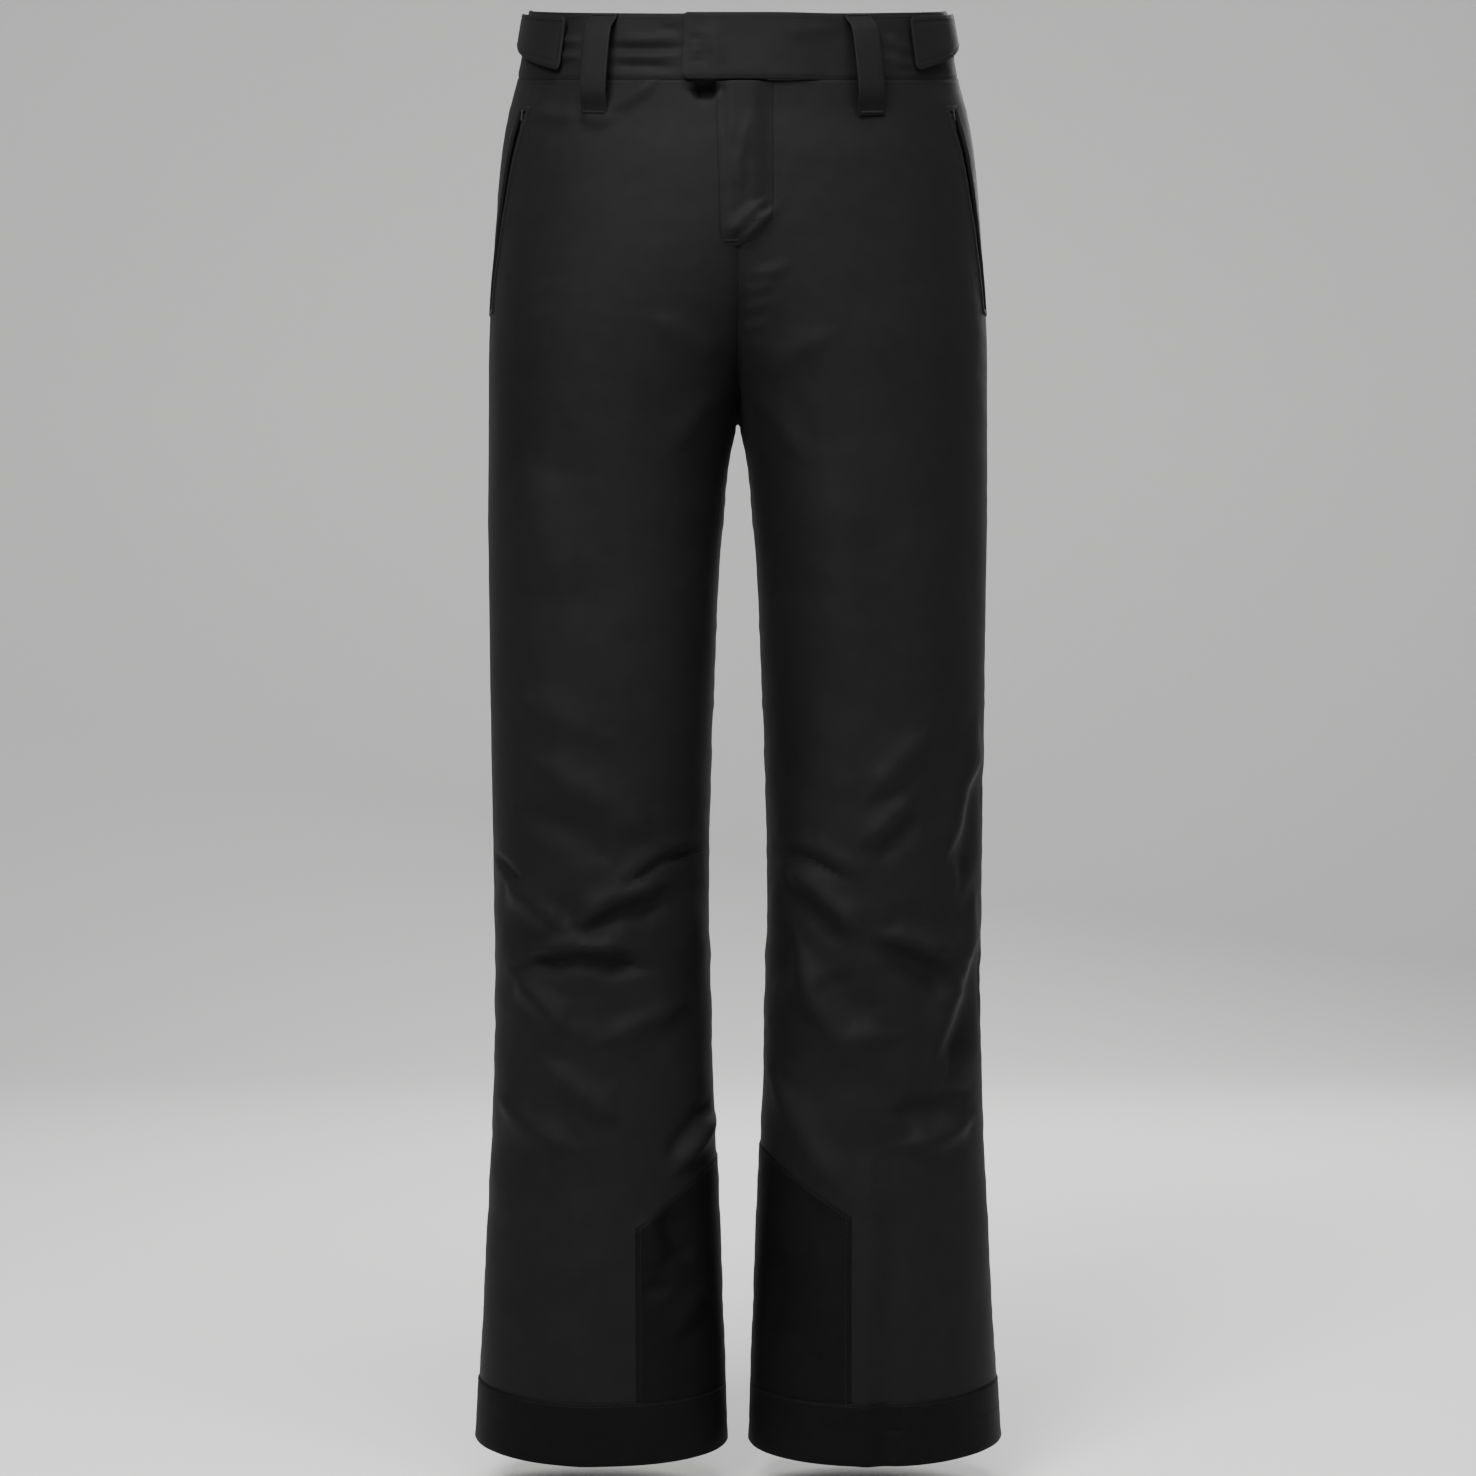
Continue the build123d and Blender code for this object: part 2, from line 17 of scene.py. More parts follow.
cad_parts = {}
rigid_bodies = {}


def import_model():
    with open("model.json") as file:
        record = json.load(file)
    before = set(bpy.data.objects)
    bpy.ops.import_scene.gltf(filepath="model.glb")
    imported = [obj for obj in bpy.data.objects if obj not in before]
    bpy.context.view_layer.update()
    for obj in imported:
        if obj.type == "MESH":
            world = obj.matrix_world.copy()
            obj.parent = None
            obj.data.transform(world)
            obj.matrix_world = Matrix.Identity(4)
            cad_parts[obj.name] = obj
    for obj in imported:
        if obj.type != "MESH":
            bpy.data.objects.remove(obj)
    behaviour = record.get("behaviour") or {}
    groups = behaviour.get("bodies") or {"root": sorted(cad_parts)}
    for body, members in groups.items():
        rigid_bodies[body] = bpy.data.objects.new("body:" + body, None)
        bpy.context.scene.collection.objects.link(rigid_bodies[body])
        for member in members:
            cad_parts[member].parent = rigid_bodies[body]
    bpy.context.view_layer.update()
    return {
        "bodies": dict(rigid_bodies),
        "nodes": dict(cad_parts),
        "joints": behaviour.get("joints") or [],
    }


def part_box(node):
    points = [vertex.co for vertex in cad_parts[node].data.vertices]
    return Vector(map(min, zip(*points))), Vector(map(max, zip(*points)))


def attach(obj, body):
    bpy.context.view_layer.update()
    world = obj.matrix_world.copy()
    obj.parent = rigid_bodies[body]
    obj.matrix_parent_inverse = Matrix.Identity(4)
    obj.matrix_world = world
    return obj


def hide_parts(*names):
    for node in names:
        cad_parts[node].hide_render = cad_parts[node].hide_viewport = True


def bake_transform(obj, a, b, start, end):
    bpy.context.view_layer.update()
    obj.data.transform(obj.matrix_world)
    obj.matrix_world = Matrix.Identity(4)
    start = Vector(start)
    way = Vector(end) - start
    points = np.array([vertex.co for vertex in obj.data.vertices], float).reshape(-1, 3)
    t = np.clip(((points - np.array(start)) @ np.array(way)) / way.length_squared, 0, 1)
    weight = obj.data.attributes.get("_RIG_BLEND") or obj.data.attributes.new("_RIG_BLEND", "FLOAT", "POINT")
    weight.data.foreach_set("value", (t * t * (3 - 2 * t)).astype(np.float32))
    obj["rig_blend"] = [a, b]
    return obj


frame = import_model()
HEM = -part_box("hem_band_left")[0][2] * 1000
print("garment hangs", round(HEM), "mm below its waist; bodies:", ", ".join(frame["bodies"]))

# %% [markdown]
# ## Camera, light and floor
# A black garment shows its form only by the way soft light rolls off it. One large lamp stands in front,
# high and a little to one side, a weaker one fills the other side, and a third grazes the folds from
# above. The pale floor curves up into the background, so nothing behind the garment draws the eye.

# %% Camera
scene = bpy.context.scene
CAMERA_DISTANCE = 2.2
VIEW_HEIGHT = 1.0708
eye = bpy.data.cameras.new("camera")
eye.lens = eye.sensor_width * CAMERA_DISTANCE / VIEW_HEIGHT
camera = bpy.data.objects.new("camera", eye)
camera.location = (0, -CAMERA_DISTANCE, -0.528)
camera.rotation_euler = (math.radians(90), 0, 0)
scene.collection.objects.link(camera)
scene.camera = camera
print("lens", round(eye.lens, 1), "mm")

# %% Lamps and sky
def softbox(name, place, aim, width, watts):
    """A square area lamp that faces its aim."""
    lamp = bpy.data.lights.new(name, "AREA")
    lamp.size, lamp.energy = width, watts
    holder = bpy.data.objects.new(name, lamp)
    holder.location = place
    holder.rotation_euler = (Vector(aim) - Vector(place)).to_track_quat("-Z", "Y").to_euler()
    scene.collection.objects.link(holder)


softbox("key", (-0.9, -2.1, 1.25), (0, 0, -0.55), 1.1, 105)
softbox("fill", (1.9, -1.7, 0.1), (0, 0, -0.6), 1.2, 13)
softbox("top", (0.2, -0.9, 1.5), (0, 0, -0.7), 0.9, 42)
softbox("back", (0.6, 2.2, 0.9), (0, 0, -0.5), 1.4, 75)
world = bpy.data.worlds.new("studio")
world.use_nodes = True
world.node_tree.nodes["Background"].inputs["Color"].default_value = (0.80, 0.81, 0.82, 1)
world.node_tree.nodes["Background"].inputs["Strength"].default_value = 0.42
scene.world = world


# %% Floor that curves up behind
def new_object(name, mesh):
    piece = bpy.data.objects.new(name, mesh)
    scene.collection.objects.link(piece)
    return piece


def backdrop():
    """A level floor, a quarter circle and a wall, drawn as one strip."""
    floor_z, back_y, radius, half = -HEM / 1000 - 0.03, 2.6, 1.2, 5.0
    profile = [(-5.0, floor_z), (back_y, floor_z)]
    for i in range(1, 13):
        turn = math.radians(90 * i / 12)
        profile.append((back_y + radius * math.sin(turn), floor_z + radius * (1 - math.cos(turn))))
    profile.append((back_y + radius, 4.0))
    corners = [(x, y, z) for y, z in profile for x in (-half, half)]
    faces = [(2 * i, 2 * i + 1, 2 * i + 3, 2 * i + 2) for i in range(len(profile) - 1)]
    mesh = bpy.data.meshes.new("floor")
    mesh.from_pydata(corners, [], faces)
    mesh.shade_smooth()
    return new_object("floor", mesh)


floor = backdrop()
paper = bpy.data.materials.new("pale_paper")
paper.use_nodes = True
paper.node_tree.nodes["Principled BSDF"].inputs["Base Color"].default_value = (0.72, 0.72, 0.71, 1)
paper.node_tree.nodes["Principled BSDF"].inputs["Roughness"].default_value = 0.9
floor.data.materials.append(paper)

# %% [markdown]
# ## The cut of the garment
# A tailor works from a size chart, and so does this script. Each row says how wide and how deep one leg
# is at a drop below the waist, in millimetres. A leg's section is a squarish oval, and above the crotch
# the two legs' ovals run into each other, which makes the seat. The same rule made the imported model, so
# pieces land on it.

# %% Size chart and section
SIZE_CHART = np.array([
    (-5, 150.5, -150.5, 96, 96),
    (25, 155.5, -155.5, 97, 99),
    (55, 160.5, -160.5, 99, 103),
    (75, 166, -166, 100, 106),
    (110, 171.5, -140, 103, 113),
    (180, 176.8, -94, 105, 124),
    (240, 180, -36, 102, 122),
    (300, 180.3, 0, 96, 108),
    (375, 180.3, 11, 91, 95),
    (457, 179, 15.5, 86, 87),
    (615, 176.8, 20.5, 81, 76),
    (700, 176, 19.6, 74, 76),
    (790, 177.5, 17.5, 71, 78),
    (900, 182.5, 13, 70, 79),
    (1045, 190, 8, 72, 80),
])
SQUARENESS = 2.2
FRONT_TILT, BACK_TILT, TILT_FADES_AT = 0.26, 0.10, 210.0
WAISTBAND, CROTCH, HEM_BAND = 50.0, 300.0, 45.0
MM = 0.001


def smooth(t):
    """0 to 1 with soft ends."""
    t = np.clip(t, 0, 1)
    return t * t * (3 - 2 * t)


def chart(drop):
    """Outer edge, inner edge, front depth and back depth at each drop."""
    rows, last = SIZE_CHART, len(SIZE_CHART) - 1
    i = np.clip(np.searchsorted(rows[:, 0], drop) - 1, 0, last - 1)
    before, low = rows[np.maximum(i - 1, 0)], rows[i]
    high, after = rows[i + 1], rows[np.minimum(i + 2, last)]
    span = high[..., :1] - low[..., :1]
    t = (np.asarray(drop, float)[..., None] - low[..., :1]) / span
    slope_low = (high - before) / (high[..., :1] - before[..., :1]) * span
    slope_high = (after - low) / (after[..., :1] - low[..., :1]) * span
    value = (
        (2 * t**3 - 3 * t**2 + 1) * low + (t**3 - 2 * t**2 + t) * slope_low
        + (3 * t**2 - 2 * t**3) * high + (t**3 - t**2) * slope_high
    )
    return value[..., 1], value[..., 2], value[..., 3], value[..., 4]


def surface(drop, angle, inset=0.0):
    """Points on the left leg's oval: angle 0 is the outseam, 90 the front, 180 the inseam, -90 the back."""
    drop, angle = np.broadcast_arrays(np.asarray(drop, float), np.asarray(angle, float))
    outer, inner, front, back = chart(drop)
    c, s = np.cos(np.radians(angle)), np.sin(np.radians(angle))
    across = np.sign(c) * np.abs(c) ** (2 / SQUARENESS)
    deep = -np.sign(s) * np.abs(s) ** (2 / SQUARENESS)
    x = (outer + inner) / 2 + ((outer - inner) / 2 - inset) * across
    y = (np.where(deep < 0, front, back) - inset) * deep
    fade = np.clip(1 - np.maximum(drop, 0) / TILT_FADES_AT, 0, 1)
    side = smooth((y + 30) / 60)
    tilt = (FRONT_TILT * (1 - side) + BACK_TILT * side) * fade * fade * (3 - 2 * fade)
    return np.stack([x, y, tilt * y - drop], axis=-1)


def angle_at_x(drop, x, inset=0.0):
    """The front angle at which the left leg's oval has this x."""
    outer, inner, _, _ = chart(np.asarray(drop, float))
    ratio = np.clip((x - (outer + inner) / 2) / ((outer - inner) / 2 - inset), -1, 1)
    return np.degrees(np.arccos(np.sign(ratio) * np.abs(ratio) ** (SQUARENESS / 2)))


def outward(drop, angle):
    """Unit normals of the oval surface, pointing away from the leg."""
    step = 0.6
    at_inseam = np.abs(np.abs(np.asarray(angle, float)) - 180) < step
    angle = np.where(at_inseam, np.sign(angle) * (180 - step), angle)
    along = surface(drop, angle + step) - surface(drop, angle - step)
    down = surface(np.asarray(drop) + step, angle) - surface(np.asarray(drop) - step, angle)
    normal = np.cross(along, down)
    normal /= np.maximum(np.linalg.norm(normal, axis=-1, keepdims=True), 1e-9)
    middle = (chart(np.asarray(drop, float))[0] + chart(np.asarray(drop, float))[1]) / 2
    normal[..., 1] *= smooth(np.abs(np.sin(np.radians(angle))) * 60)
    spoke = surface(drop, angle) * [1, 1, 0]
    spoke[..., 0] -= middle
    flip = np.sum(normal * spoke, axis=-1, keepdims=True) < 0
    return np.where(flip, -normal, normal)


def mirrored(points, side):
    """A copy of points or directions, on the wearer's left or mirrored to the right."""
    return points * np.array([side, 1.0, 1.0])


def oval_grid(drops, angles, inset):
    """A column of drops and a row of angles spread into a grid, with its points and normals on the oval."""
    drops, angles = np.broadcast_arrays(drops[:, None], angles[None, :])
    return drops, angles, surface(drops, angles, inset), outward(drops, angles)


def wrapped_turn(angles):
    """Angles past 180 written as negative ones, as the back of the leg has them."""
    return np.where(angles > 180, angles - 360, angles)


print("hip width", round(float(2 * chart(np.array(240.0))[0])), "mm, hem width",
      round(float(chart(np.array(HEM))[0] - chart(np.array(HEM))[1])), "mm")

# %% [markdown]
# ## Folds
# Cloth that hangs from the waist gathers at the knee, where the leg narrows, and breaks again above the
# boot. A fold could come from a cloth simulation, but then nobody chooses where it falls. Here each fold
# is a soft ridge or hollow laid along a few listed points, and broad noise joins them up.

# %% Fold shapes
# Each fold: its points as (x, distance below waist level), its height (negative for a hollow) and its
# half-width, in millimetres. x is negative on the wearer's right.
FRONT_FOLDS = [
    # the wearer's right leg: pulls from the outseam towards the knee
    ([(-160, 498), (-128, 512), (-92, 530)], 1.7, 12),
    ([(-150, 540), (-105, 566), (-50, 602)], 2.8, 14),
    ([(-160, 572), (-120, 590), (-84, 618)], -2.4, 12),
    ([(-150, 330), (-136, 385), (-120, 440)], 2.4, 22),
    ([(-126, 300), (-104, 380), (-98, 470)], -2.0, 24),
    # under the right knee
    ([(-165, 626), (-140, 650), (-118, 662)], 4.0, 10),
    ([(-122, 662), (-86, 640), (-46, 628)], 5.0, 9),
    ([(-116, 672), (-84, 652), (-44, 644)], -4.2, 8),
    ([(-152, 680), (-116, 672), (-70, 676)], 5.2, 9),
    ([(-160, 691), (-112, 685), (-56, 691)], -5.8, 7),
    ([(-160, 694), (-140, 714), (-116, 736)], 4.0, 9),
    ([(-100, 744), (-70, 730), (-36, 716)], 3.0, 9),
    ([(-146, 752), (-112, 776), (-78, 800)], 3.4, 10),
    ([(-172, 784), (-142, 806), (-112, 820)], 3.0, 10),
    ([(-46, 836), (-30, 818), (-12, 792)], 4.0, 6),
    ([(-52, 826), (-36, 808), (-18, 784)], -2.6, 6),
    ([(-120, 830), (-112, 900), (-110, 985), (-108, 1080)], 2.0, 18),
    # the wearer's left leg
    ([(88, 572), (112, 548), (136, 520)], 3.2, 10),
    ([(84, 606), (104, 588), (124, 566)], 3.4, 8),
    ([(94, 616), (112, 600), (130, 578)], -2.4, 8),
    ([(32, 616), (58, 636), (90, 668)], 4.2, 9),
    ([(26, 628), (52, 650), (78, 676)], -2.6, 9),
    ([(96, 664), (124, 672), (160, 682)], 4.6, 8),
    ([(90, 672), (126, 688), (166, 706)], -6.0, 11),
    ([(40, 664), (52, 706), (74, 740), (120, 736)], 4.4, 11),
    ([(60, 690), (76, 716), (104, 716)], -3.0, 13),
    ([(172, 512), (160, 560), (144, 620)], 4.0, 10),
    ([(176, 540), (168, 590), (158, 636)], -4.6, 10),
    ([(170, 640), (154, 706), (134, 764)], 5.0, 11),
    ([(178, 660), (168, 716), (150, 770)], -5.6, 12),
    ([(112, 816), (140, 812), (172, 796)], 4.2, 9),
    ([(104, 792), (138, 790), (168, 778)], -4.0, 11),
    ([(22, 764), (46, 806), (78, 856)], 3.0, 10),
    ([(92, 800), (93, 880), (90, 990), (90, 1080)], 2.8, 9),
    ([(106, 820), (108, 900), (104, 985), (103, 1080)], -2.4, 11),
    # in the scuff guards
    ([(-66, 862), (-60, 885), (-57, 905)], 2.2, 8),
    ([(-50, 858), (-44, 885), (-34, 902)], -3.0, 9),
    ([(-24, 915), (-34, 930), (-46, 950)], 2.4, 8),
    ([(-68, 912), (-58, 917), (-48, 914)], -2.2, 6),
    ([(56, 876), (62, 920), (64, 975)], 1.8, 13),
    ([(30, 880), (26, 920), (24, 970)], -1.8, 10),
    ([(120, 360), (132, 440), (140, 500)], 2.0, 22),
    ([(60, 330), (70, 420), (76, 500)], 1.6, 24),
    # the knee darts, sewn as narrow creases
    ([(-22, 606), (-52, 614), (-84, 636)], -2.8, 3.2),
    ([(-24, 600), (-54, 607), (-88, 628)], 1.6, 7),
    ([(-174, 610), (-164, 618), (-152, 632)], -2.6, 3.2),
    ([(28, 606), (52, 613), (80, 629)], -2.4, 3.2),
    ([(30, 600), (56, 606), (86, 622)], 1.4, 7),
    # strain from the fly and the crotch
    ([(26, 162), (14, 174), (-2, 188)], 2.6, 5),
    ([(6, 208), (22, 206), (38, 200)], 1.2, 4),
    ([(1, 218), (14, 217), (26, 213)], 1.5, 3.5),
    ([(1, 229), (13, 228), (24, 225)], 1.6, 3.5),
    ([(1, 241), (12, 241), (21, 239)], 1.5, 3.5),
    ([(1, 252), (10, 253), (18, 252)], 1.3, 3.5),
    ([(-6, 262), (-30, 254), (-64, 236)], 1.6, 9),
    ([(6, 268), (34, 262), (70, 246)], 1.6, 9),
    ([(-4, 284), (-26, 296), (-50, 330)], 1.8, 9),
    ([(5, 286), (26, 300), (48, 336)], 1.8, 9),
    ([(-112, 92), (-96, 98), (-82, 96)], 1.6, 5),
    ([(-104, 94), (-80, 86), (-52, 68)], 2.0, 6),
    ([(-34, 78), (-12, 78)], -8.0, 5.5),
    ([(-150, 82), (-128, 92), (-106, 94)], 1.4, 6),
]
BACK_FOLDS = [
    ([(-150, 330), (-90, 345), (-30, 330)], 3.0, 13),
    ([(-146, 352), (-92, 366), (-34, 350)], -2.4, 11),
    ([(150, 334), (92, 350), (32, 332)], 3.2, 13),
    ([(146, 358), (90, 372), (36, 352)], -2.4, 11),
    ([(-160, 560), (-110, 584), (-50, 574)], 4.4, 10),
    ([(-164, 590), (-116, 606), (-46, 600)], -4.0, 10),
    ([(-158, 618), (-104, 634), (-40, 622)], 4.8, 10),
    ([(-150, 650), (-100, 662), (-44, 656)], -3.6, 10),
    ([(-156, 676), (-110, 694), (-50, 690)], 3.6, 11),
    ([(160, 556), (112, 576), (52, 570)], 4.0, 10),
    ([(162, 588), (110, 604), (48, 596)], -3.8, 10),
    ([(160, 614), (106, 628), (42, 624)], 4.8, 10),
    ([(154, 646), (102, 658), (44, 650)], -3.6, 10),
    ([(158, 672), (108, 688), (48, 684)], 3.6, 11),
    ([(-150, 800), (-104, 830), (-60, 836)], 3.2, 14),
    ([(152, 806), (108, 832), (62, 838)], 3.2, 14),
    ([(-124, 880), (-116, 930), (-112, 985)], 2.2, 16),
    ([(118, 876), (112, 930), (110, 985)], 2.2, 16),
    ([(-4, 210), (-40, 236), (-92, 250)], 2.0, 14),
    ([(4, 212), (40, 238), (90, 252)], 2.0, 14),
    ([(-3, 262), (-36, 290), (-80, 306)], 2.4, 12),
    ([(3, 262), (36, 292), (80, 308)], 2.4, 12),
]


def fold_height(points, height, half_width, x, drop):
    """The rise that one fold gives at each (x, drop), with ends that fade into the cloth."""
    points = np.array(points, float)
    lengths = np.linalg.norm(np.diff(points, axis=0), axis=1)
    nearest = np.full(x.shape, 1e9)
    along = np.zeros(x.shape)
    start = 0.0
    for a, b, length in zip(points[:-1], points[1:], lengths):
        d = (b - a) / length
        run = np.clip((x - a[0]) * d[0] + (drop - a[1]) * d[1], 0, length)
        gap = np.hypot(x - a[0] - run * d[0], drop - a[1] - run * d[1])
        closer = gap < nearest
        nearest = np.where(closer, gap, nearest)
        along = np.where(closer, (start + run) / lengths.sum(), along)
        start += length
    ends = smooth(np.minimum(along, 1 - along) / 0.3) * 0.85 + 0.15
    reach = np.maximum(half_width * ends, 2.5)
    return height * ends * np.exp(-((nearest / reach) ** 2))


def turbulence(points, size, seed, stretch=(1, 1, 1)):
    """Smooth noise from -1 to 1 at each point; size is the width of its lumps in millimetres."""
    flat = (points * stretch / size).reshape(-1, 3)
    shift = Vector((seed * 7.13, seed * 3.71, seed * 5.37))
    values = [noise.noise(Vector(p) + shift) for p in flat.tolist()]
    return np.array(values).reshape(points.shape[:-1])


def relief(points, angle):
    """How far the cloth stands off its oval at each point."""
    x = points[..., 0]
    level = -points[..., 2]
    sine = np.abs(np.sin(np.radians(angle)))
    facing = (0.35 + 0.65 * smooth(sine * 2.2)) * smooth(sine * 7)
    height = np.zeros(x.shape)
    for folds, mask in ((FRONT_FOLDS, angle > 0), (BACK_FOLDS, angle < 0)):
        if mask.any():
            total = 1.35 * sum(fold_height(*fold, x, level) for fold in folds)
            height += np.where(mask, total * facing, 0)
    knee = np.exp(-(((level - 680) / 105) ** 2))
    ankle = np.exp(-(((level - 850) / 90) ** 2))
    steady = 0.25 + 0.75 * smooth(sine * 1.6)
    broad = 3.0 * turbulence(points, 150, 1, (1, 1, 0.55)) * smooth((level - 190) / 180)
    creased = (0.5 + 2.1 * knee + 1.0 * ankle) * turbulence(points, 42, 2, (0.8, 0.8, 1.5))
    fine = (0.22 + 0.4 * knee) * turbulence(points, 15, 3, (0.9, 0.9, 1.3))
    return height + (broad + creased * smooth((level - 60) / 90) + fine) * steady


print(len(FRONT_FOLDS), "front folds,", len(BACK_FOLDS), "back folds")

# %% [markdown]
# ## From a rule to cloth
# Every panel is a grid of points on the oval, pushed out along its normal by the folds, with a map that
# holds its real width and length, so that the weave keeps its scale. Solidify gives it thickness and a
# small bevel rounds its cut edges, because a folded edge of cloth is never sharp.

# %% Grids that become cloth
def lengths_map(points):
    """Distances along the rows and down the middle column of a grid, in metres."""
    across = np.linalg.norm(np.diff(points, axis=1), axis=2)
    u = np.concatenate([np.zeros((len(points), 1)), np.cumsum(across, axis=1)], axis=1)
    u -= u[:, u.shape[1] // 2, None]
    down = np.linalg.norm(np.diff(points, axis=0), axis=2)
    v = np.concatenate([np.zeros((1, points.shape[1])), np.cumsum(down, axis=0)], axis=0)
    return np.stack([u, np.broadcast_to(v[:, v.shape[1] // 2, None], v.shape)], axis=-1) * MM


CUTS = {}


def cut_size(points, keep):
    """Width, length and area that a grid's cloth has when it is laid flat, in metres."""
    across = np.linalg.norm(np.diff(points, axis=1), axis=2).sum(axis=1).max()
    down = np.linalg.norm(np.diff(points, axis=0), axis=2).sum(axis=0).max()
    first = np.cross(points[:-1, 1:] - points[:-1, :-1], points[1:, 1:] - points[:-1, :-1])
    second = np.cross(points[1:, 1:] - points[:-1, :-1], points[1:, :-1] - points[:-1, :-1])
    cells = (np.linalg.norm(first, axis=2) + np.linalg.norm(second, axis=2)) / 2
    area = cells.sum() if keep is None else cells[keep].sum()
    return float(across) * MM, float(down) * MM, float(area) * MM * MM


def grid_piece(name, points, normals, keep=None, closed=False):
    """A mesh from a grid of points in millimetres; keep says which cells stay."""
    CUTS[name] = cut_size(points, keep)
    rows, cols = points.shape[:2]
    index = np.arange(rows * cols).reshape(rows, cols)
    cells = np.stack([index[:-1, :-1], index[:-1, 1:], index[1:, 1:], index[1:, :-1]], axis=-1)
    if keep is not None:
        cells = cells[keep]
    cells = cells.reshape(-1, 4)
    used, packed = np.unique(cells, return_inverse=True)
    cells = packed.reshape(-1, 4)
    flat_points = points.reshape(-1, 3)[used] * MM
    flat_normals = normals.reshape(-1, 3)[used]
    flat_map = lengths_map(points).reshape(-1, 2)[used]
    a, b, c = (flat_points[cells[:, i]] for i in range(3))
    if np.sum(np.cross(b - a, c - a) * flat_normals[cells[:, 0]]) < 0:
        cells = cells[:, ::-1]
    mesh = bpy.data.meshes.new(name)
    mesh.from_pydata(flat_points.tolist(), [], cells.tolist())
    layer = mesh.uv_layers.new(name="UVMap")
    layer.data.foreach_set("uv", flat_map[cells.reshape(-1)].reshape(-1).astype(np.float32))
    piece = new_object(name, mesh)
    if closed:
        weld(piece)
    piece.data.shade_smooth()
    return piece


def modify(piece, kind, **settings):
    """Adds a modifier, makes its result the mesh and takes it off again."""
    modifier = piece.modifiers.new(kind.lower(), kind)
    for key, value in settings.items():
        setattr(modifier, key, value)
    bake(piece)


def bake(piece):
    """The piece's evaluated mesh becomes its own plain mesh."""
    seen = piece.evaluated_get(bpy.context.evaluated_depsgraph_get())
    mesh = bpy.data.meshes.new_from_object(seen)
    piece.modifiers.clear()
    old = piece.data
    piece.data = mesh
    bpy.data.meshes.remove(old)
    mesh.name = piece.name


def weld(piece):
    modify(piece, "WELD", merge_threshold=0.00002)


def thicken(piece, thickness, edge=0.3):
    """Gives cloth its thickness, inwards, and rounds its cut edges."""
    modify(piece, "SOLIDIFY", thickness=thickness * MM, offset=-1)
    modify(piece, "BEVEL", width=edge * MM, segments=2, limit_method="ANGLE", angle_limit=math.radians(55))
    piece.data.shade_smooth()
    return piece


def triangles(piece):
    return sum(len(face.vertices) - 2 for face in piece.data.polygons)


def shell(side, drop, angle, lift=0.0):
    """Points and normals on one leg's finished shell; side is 1 for the wearer's left, -1 for the right."""
    drop, angle = np.broadcast_arrays(np.asarray(drop, float), np.asarray(angle, float))
    points, normals = mirrored(surface(drop, angle), side), mirrored(outward(drop, angle), side)
    height = relief(points, angle) + seam_pull(points, angle, drop) + lift
    return points + normals * height[..., None], normals


def seam_pull(points, angle, drop):
    """Seams draw the cloth in along a line and pucker it to both sides."""
    outer = np.where(np.abs(angle) < 60, np.abs(points[..., 1]), 99)
    inner = np.where((np.abs(angle) > 120) & (drop > CROTCH), np.abs(points[..., 1]), 99)
    centre = np.where(drop < CROTCH + 4, np.abs(points[..., 0]), 99)
    gap = np.minimum(np.minimum(outer, inner), centre)
    ripple = turbulence(points * [0, 0, 1], 9, 5) * np.exp(-((gap / 9) ** 2))
    return -1.1 * np.exp(-((gap / 2.8) ** 2)) + 0.8 * ripple


pieces = {}


def add_piece(piece, fabric):
    """Gives a finished piece its fabric and enters it in the list of pieces."""
    piece.data.materials.append(fabric)
    pieces[piece.name] = piece
    print(piece.name, triangles(piece), "triangles")


# %% [markdown]
# ## Fabrics
# The shell is a fine twill: diagonal ribs half a millimetre apart, matt, with a faint bloom of raised
# fibre that sheen gives. The hems and scuff guards are a denser, darker plain weave. Both are drawn from
# the cloth's own map, with the ribs' crests painted lighter and their grooves darker as painted shade,
# and a slow noise varies the dye and the gloss a little, as rubbing and pressing do.

# %% Material helpers
def material(name, colour, roughness, sheen=0.0, metallic=0.0, coat=0.0, specular=0.5):
    """A principled material with constant values on its own sockets."""
    made = bpy.data.materials.new(name)
    made.use_nodes = True
    shader = made.node_tree.nodes["Principled BSDF"]
    for socket, value in {
        "Base Color": (*colour, 1), "Roughness": roughness, "Metallic": metallic, "Sheen Weight": sheen,
        "Sheen Roughness": 0.45, "Coat Weight": coat, "Specular IOR Level": specular,
    }.items():
        shader.inputs[socket].default_value = value
    return made


def add_node(tree, kind, **values):
    """A new node in a tree, with its own settings."""
    made = tree.nodes.new(kind)
    for key, value in values.items():
        setattr(made, key, value)
    return made


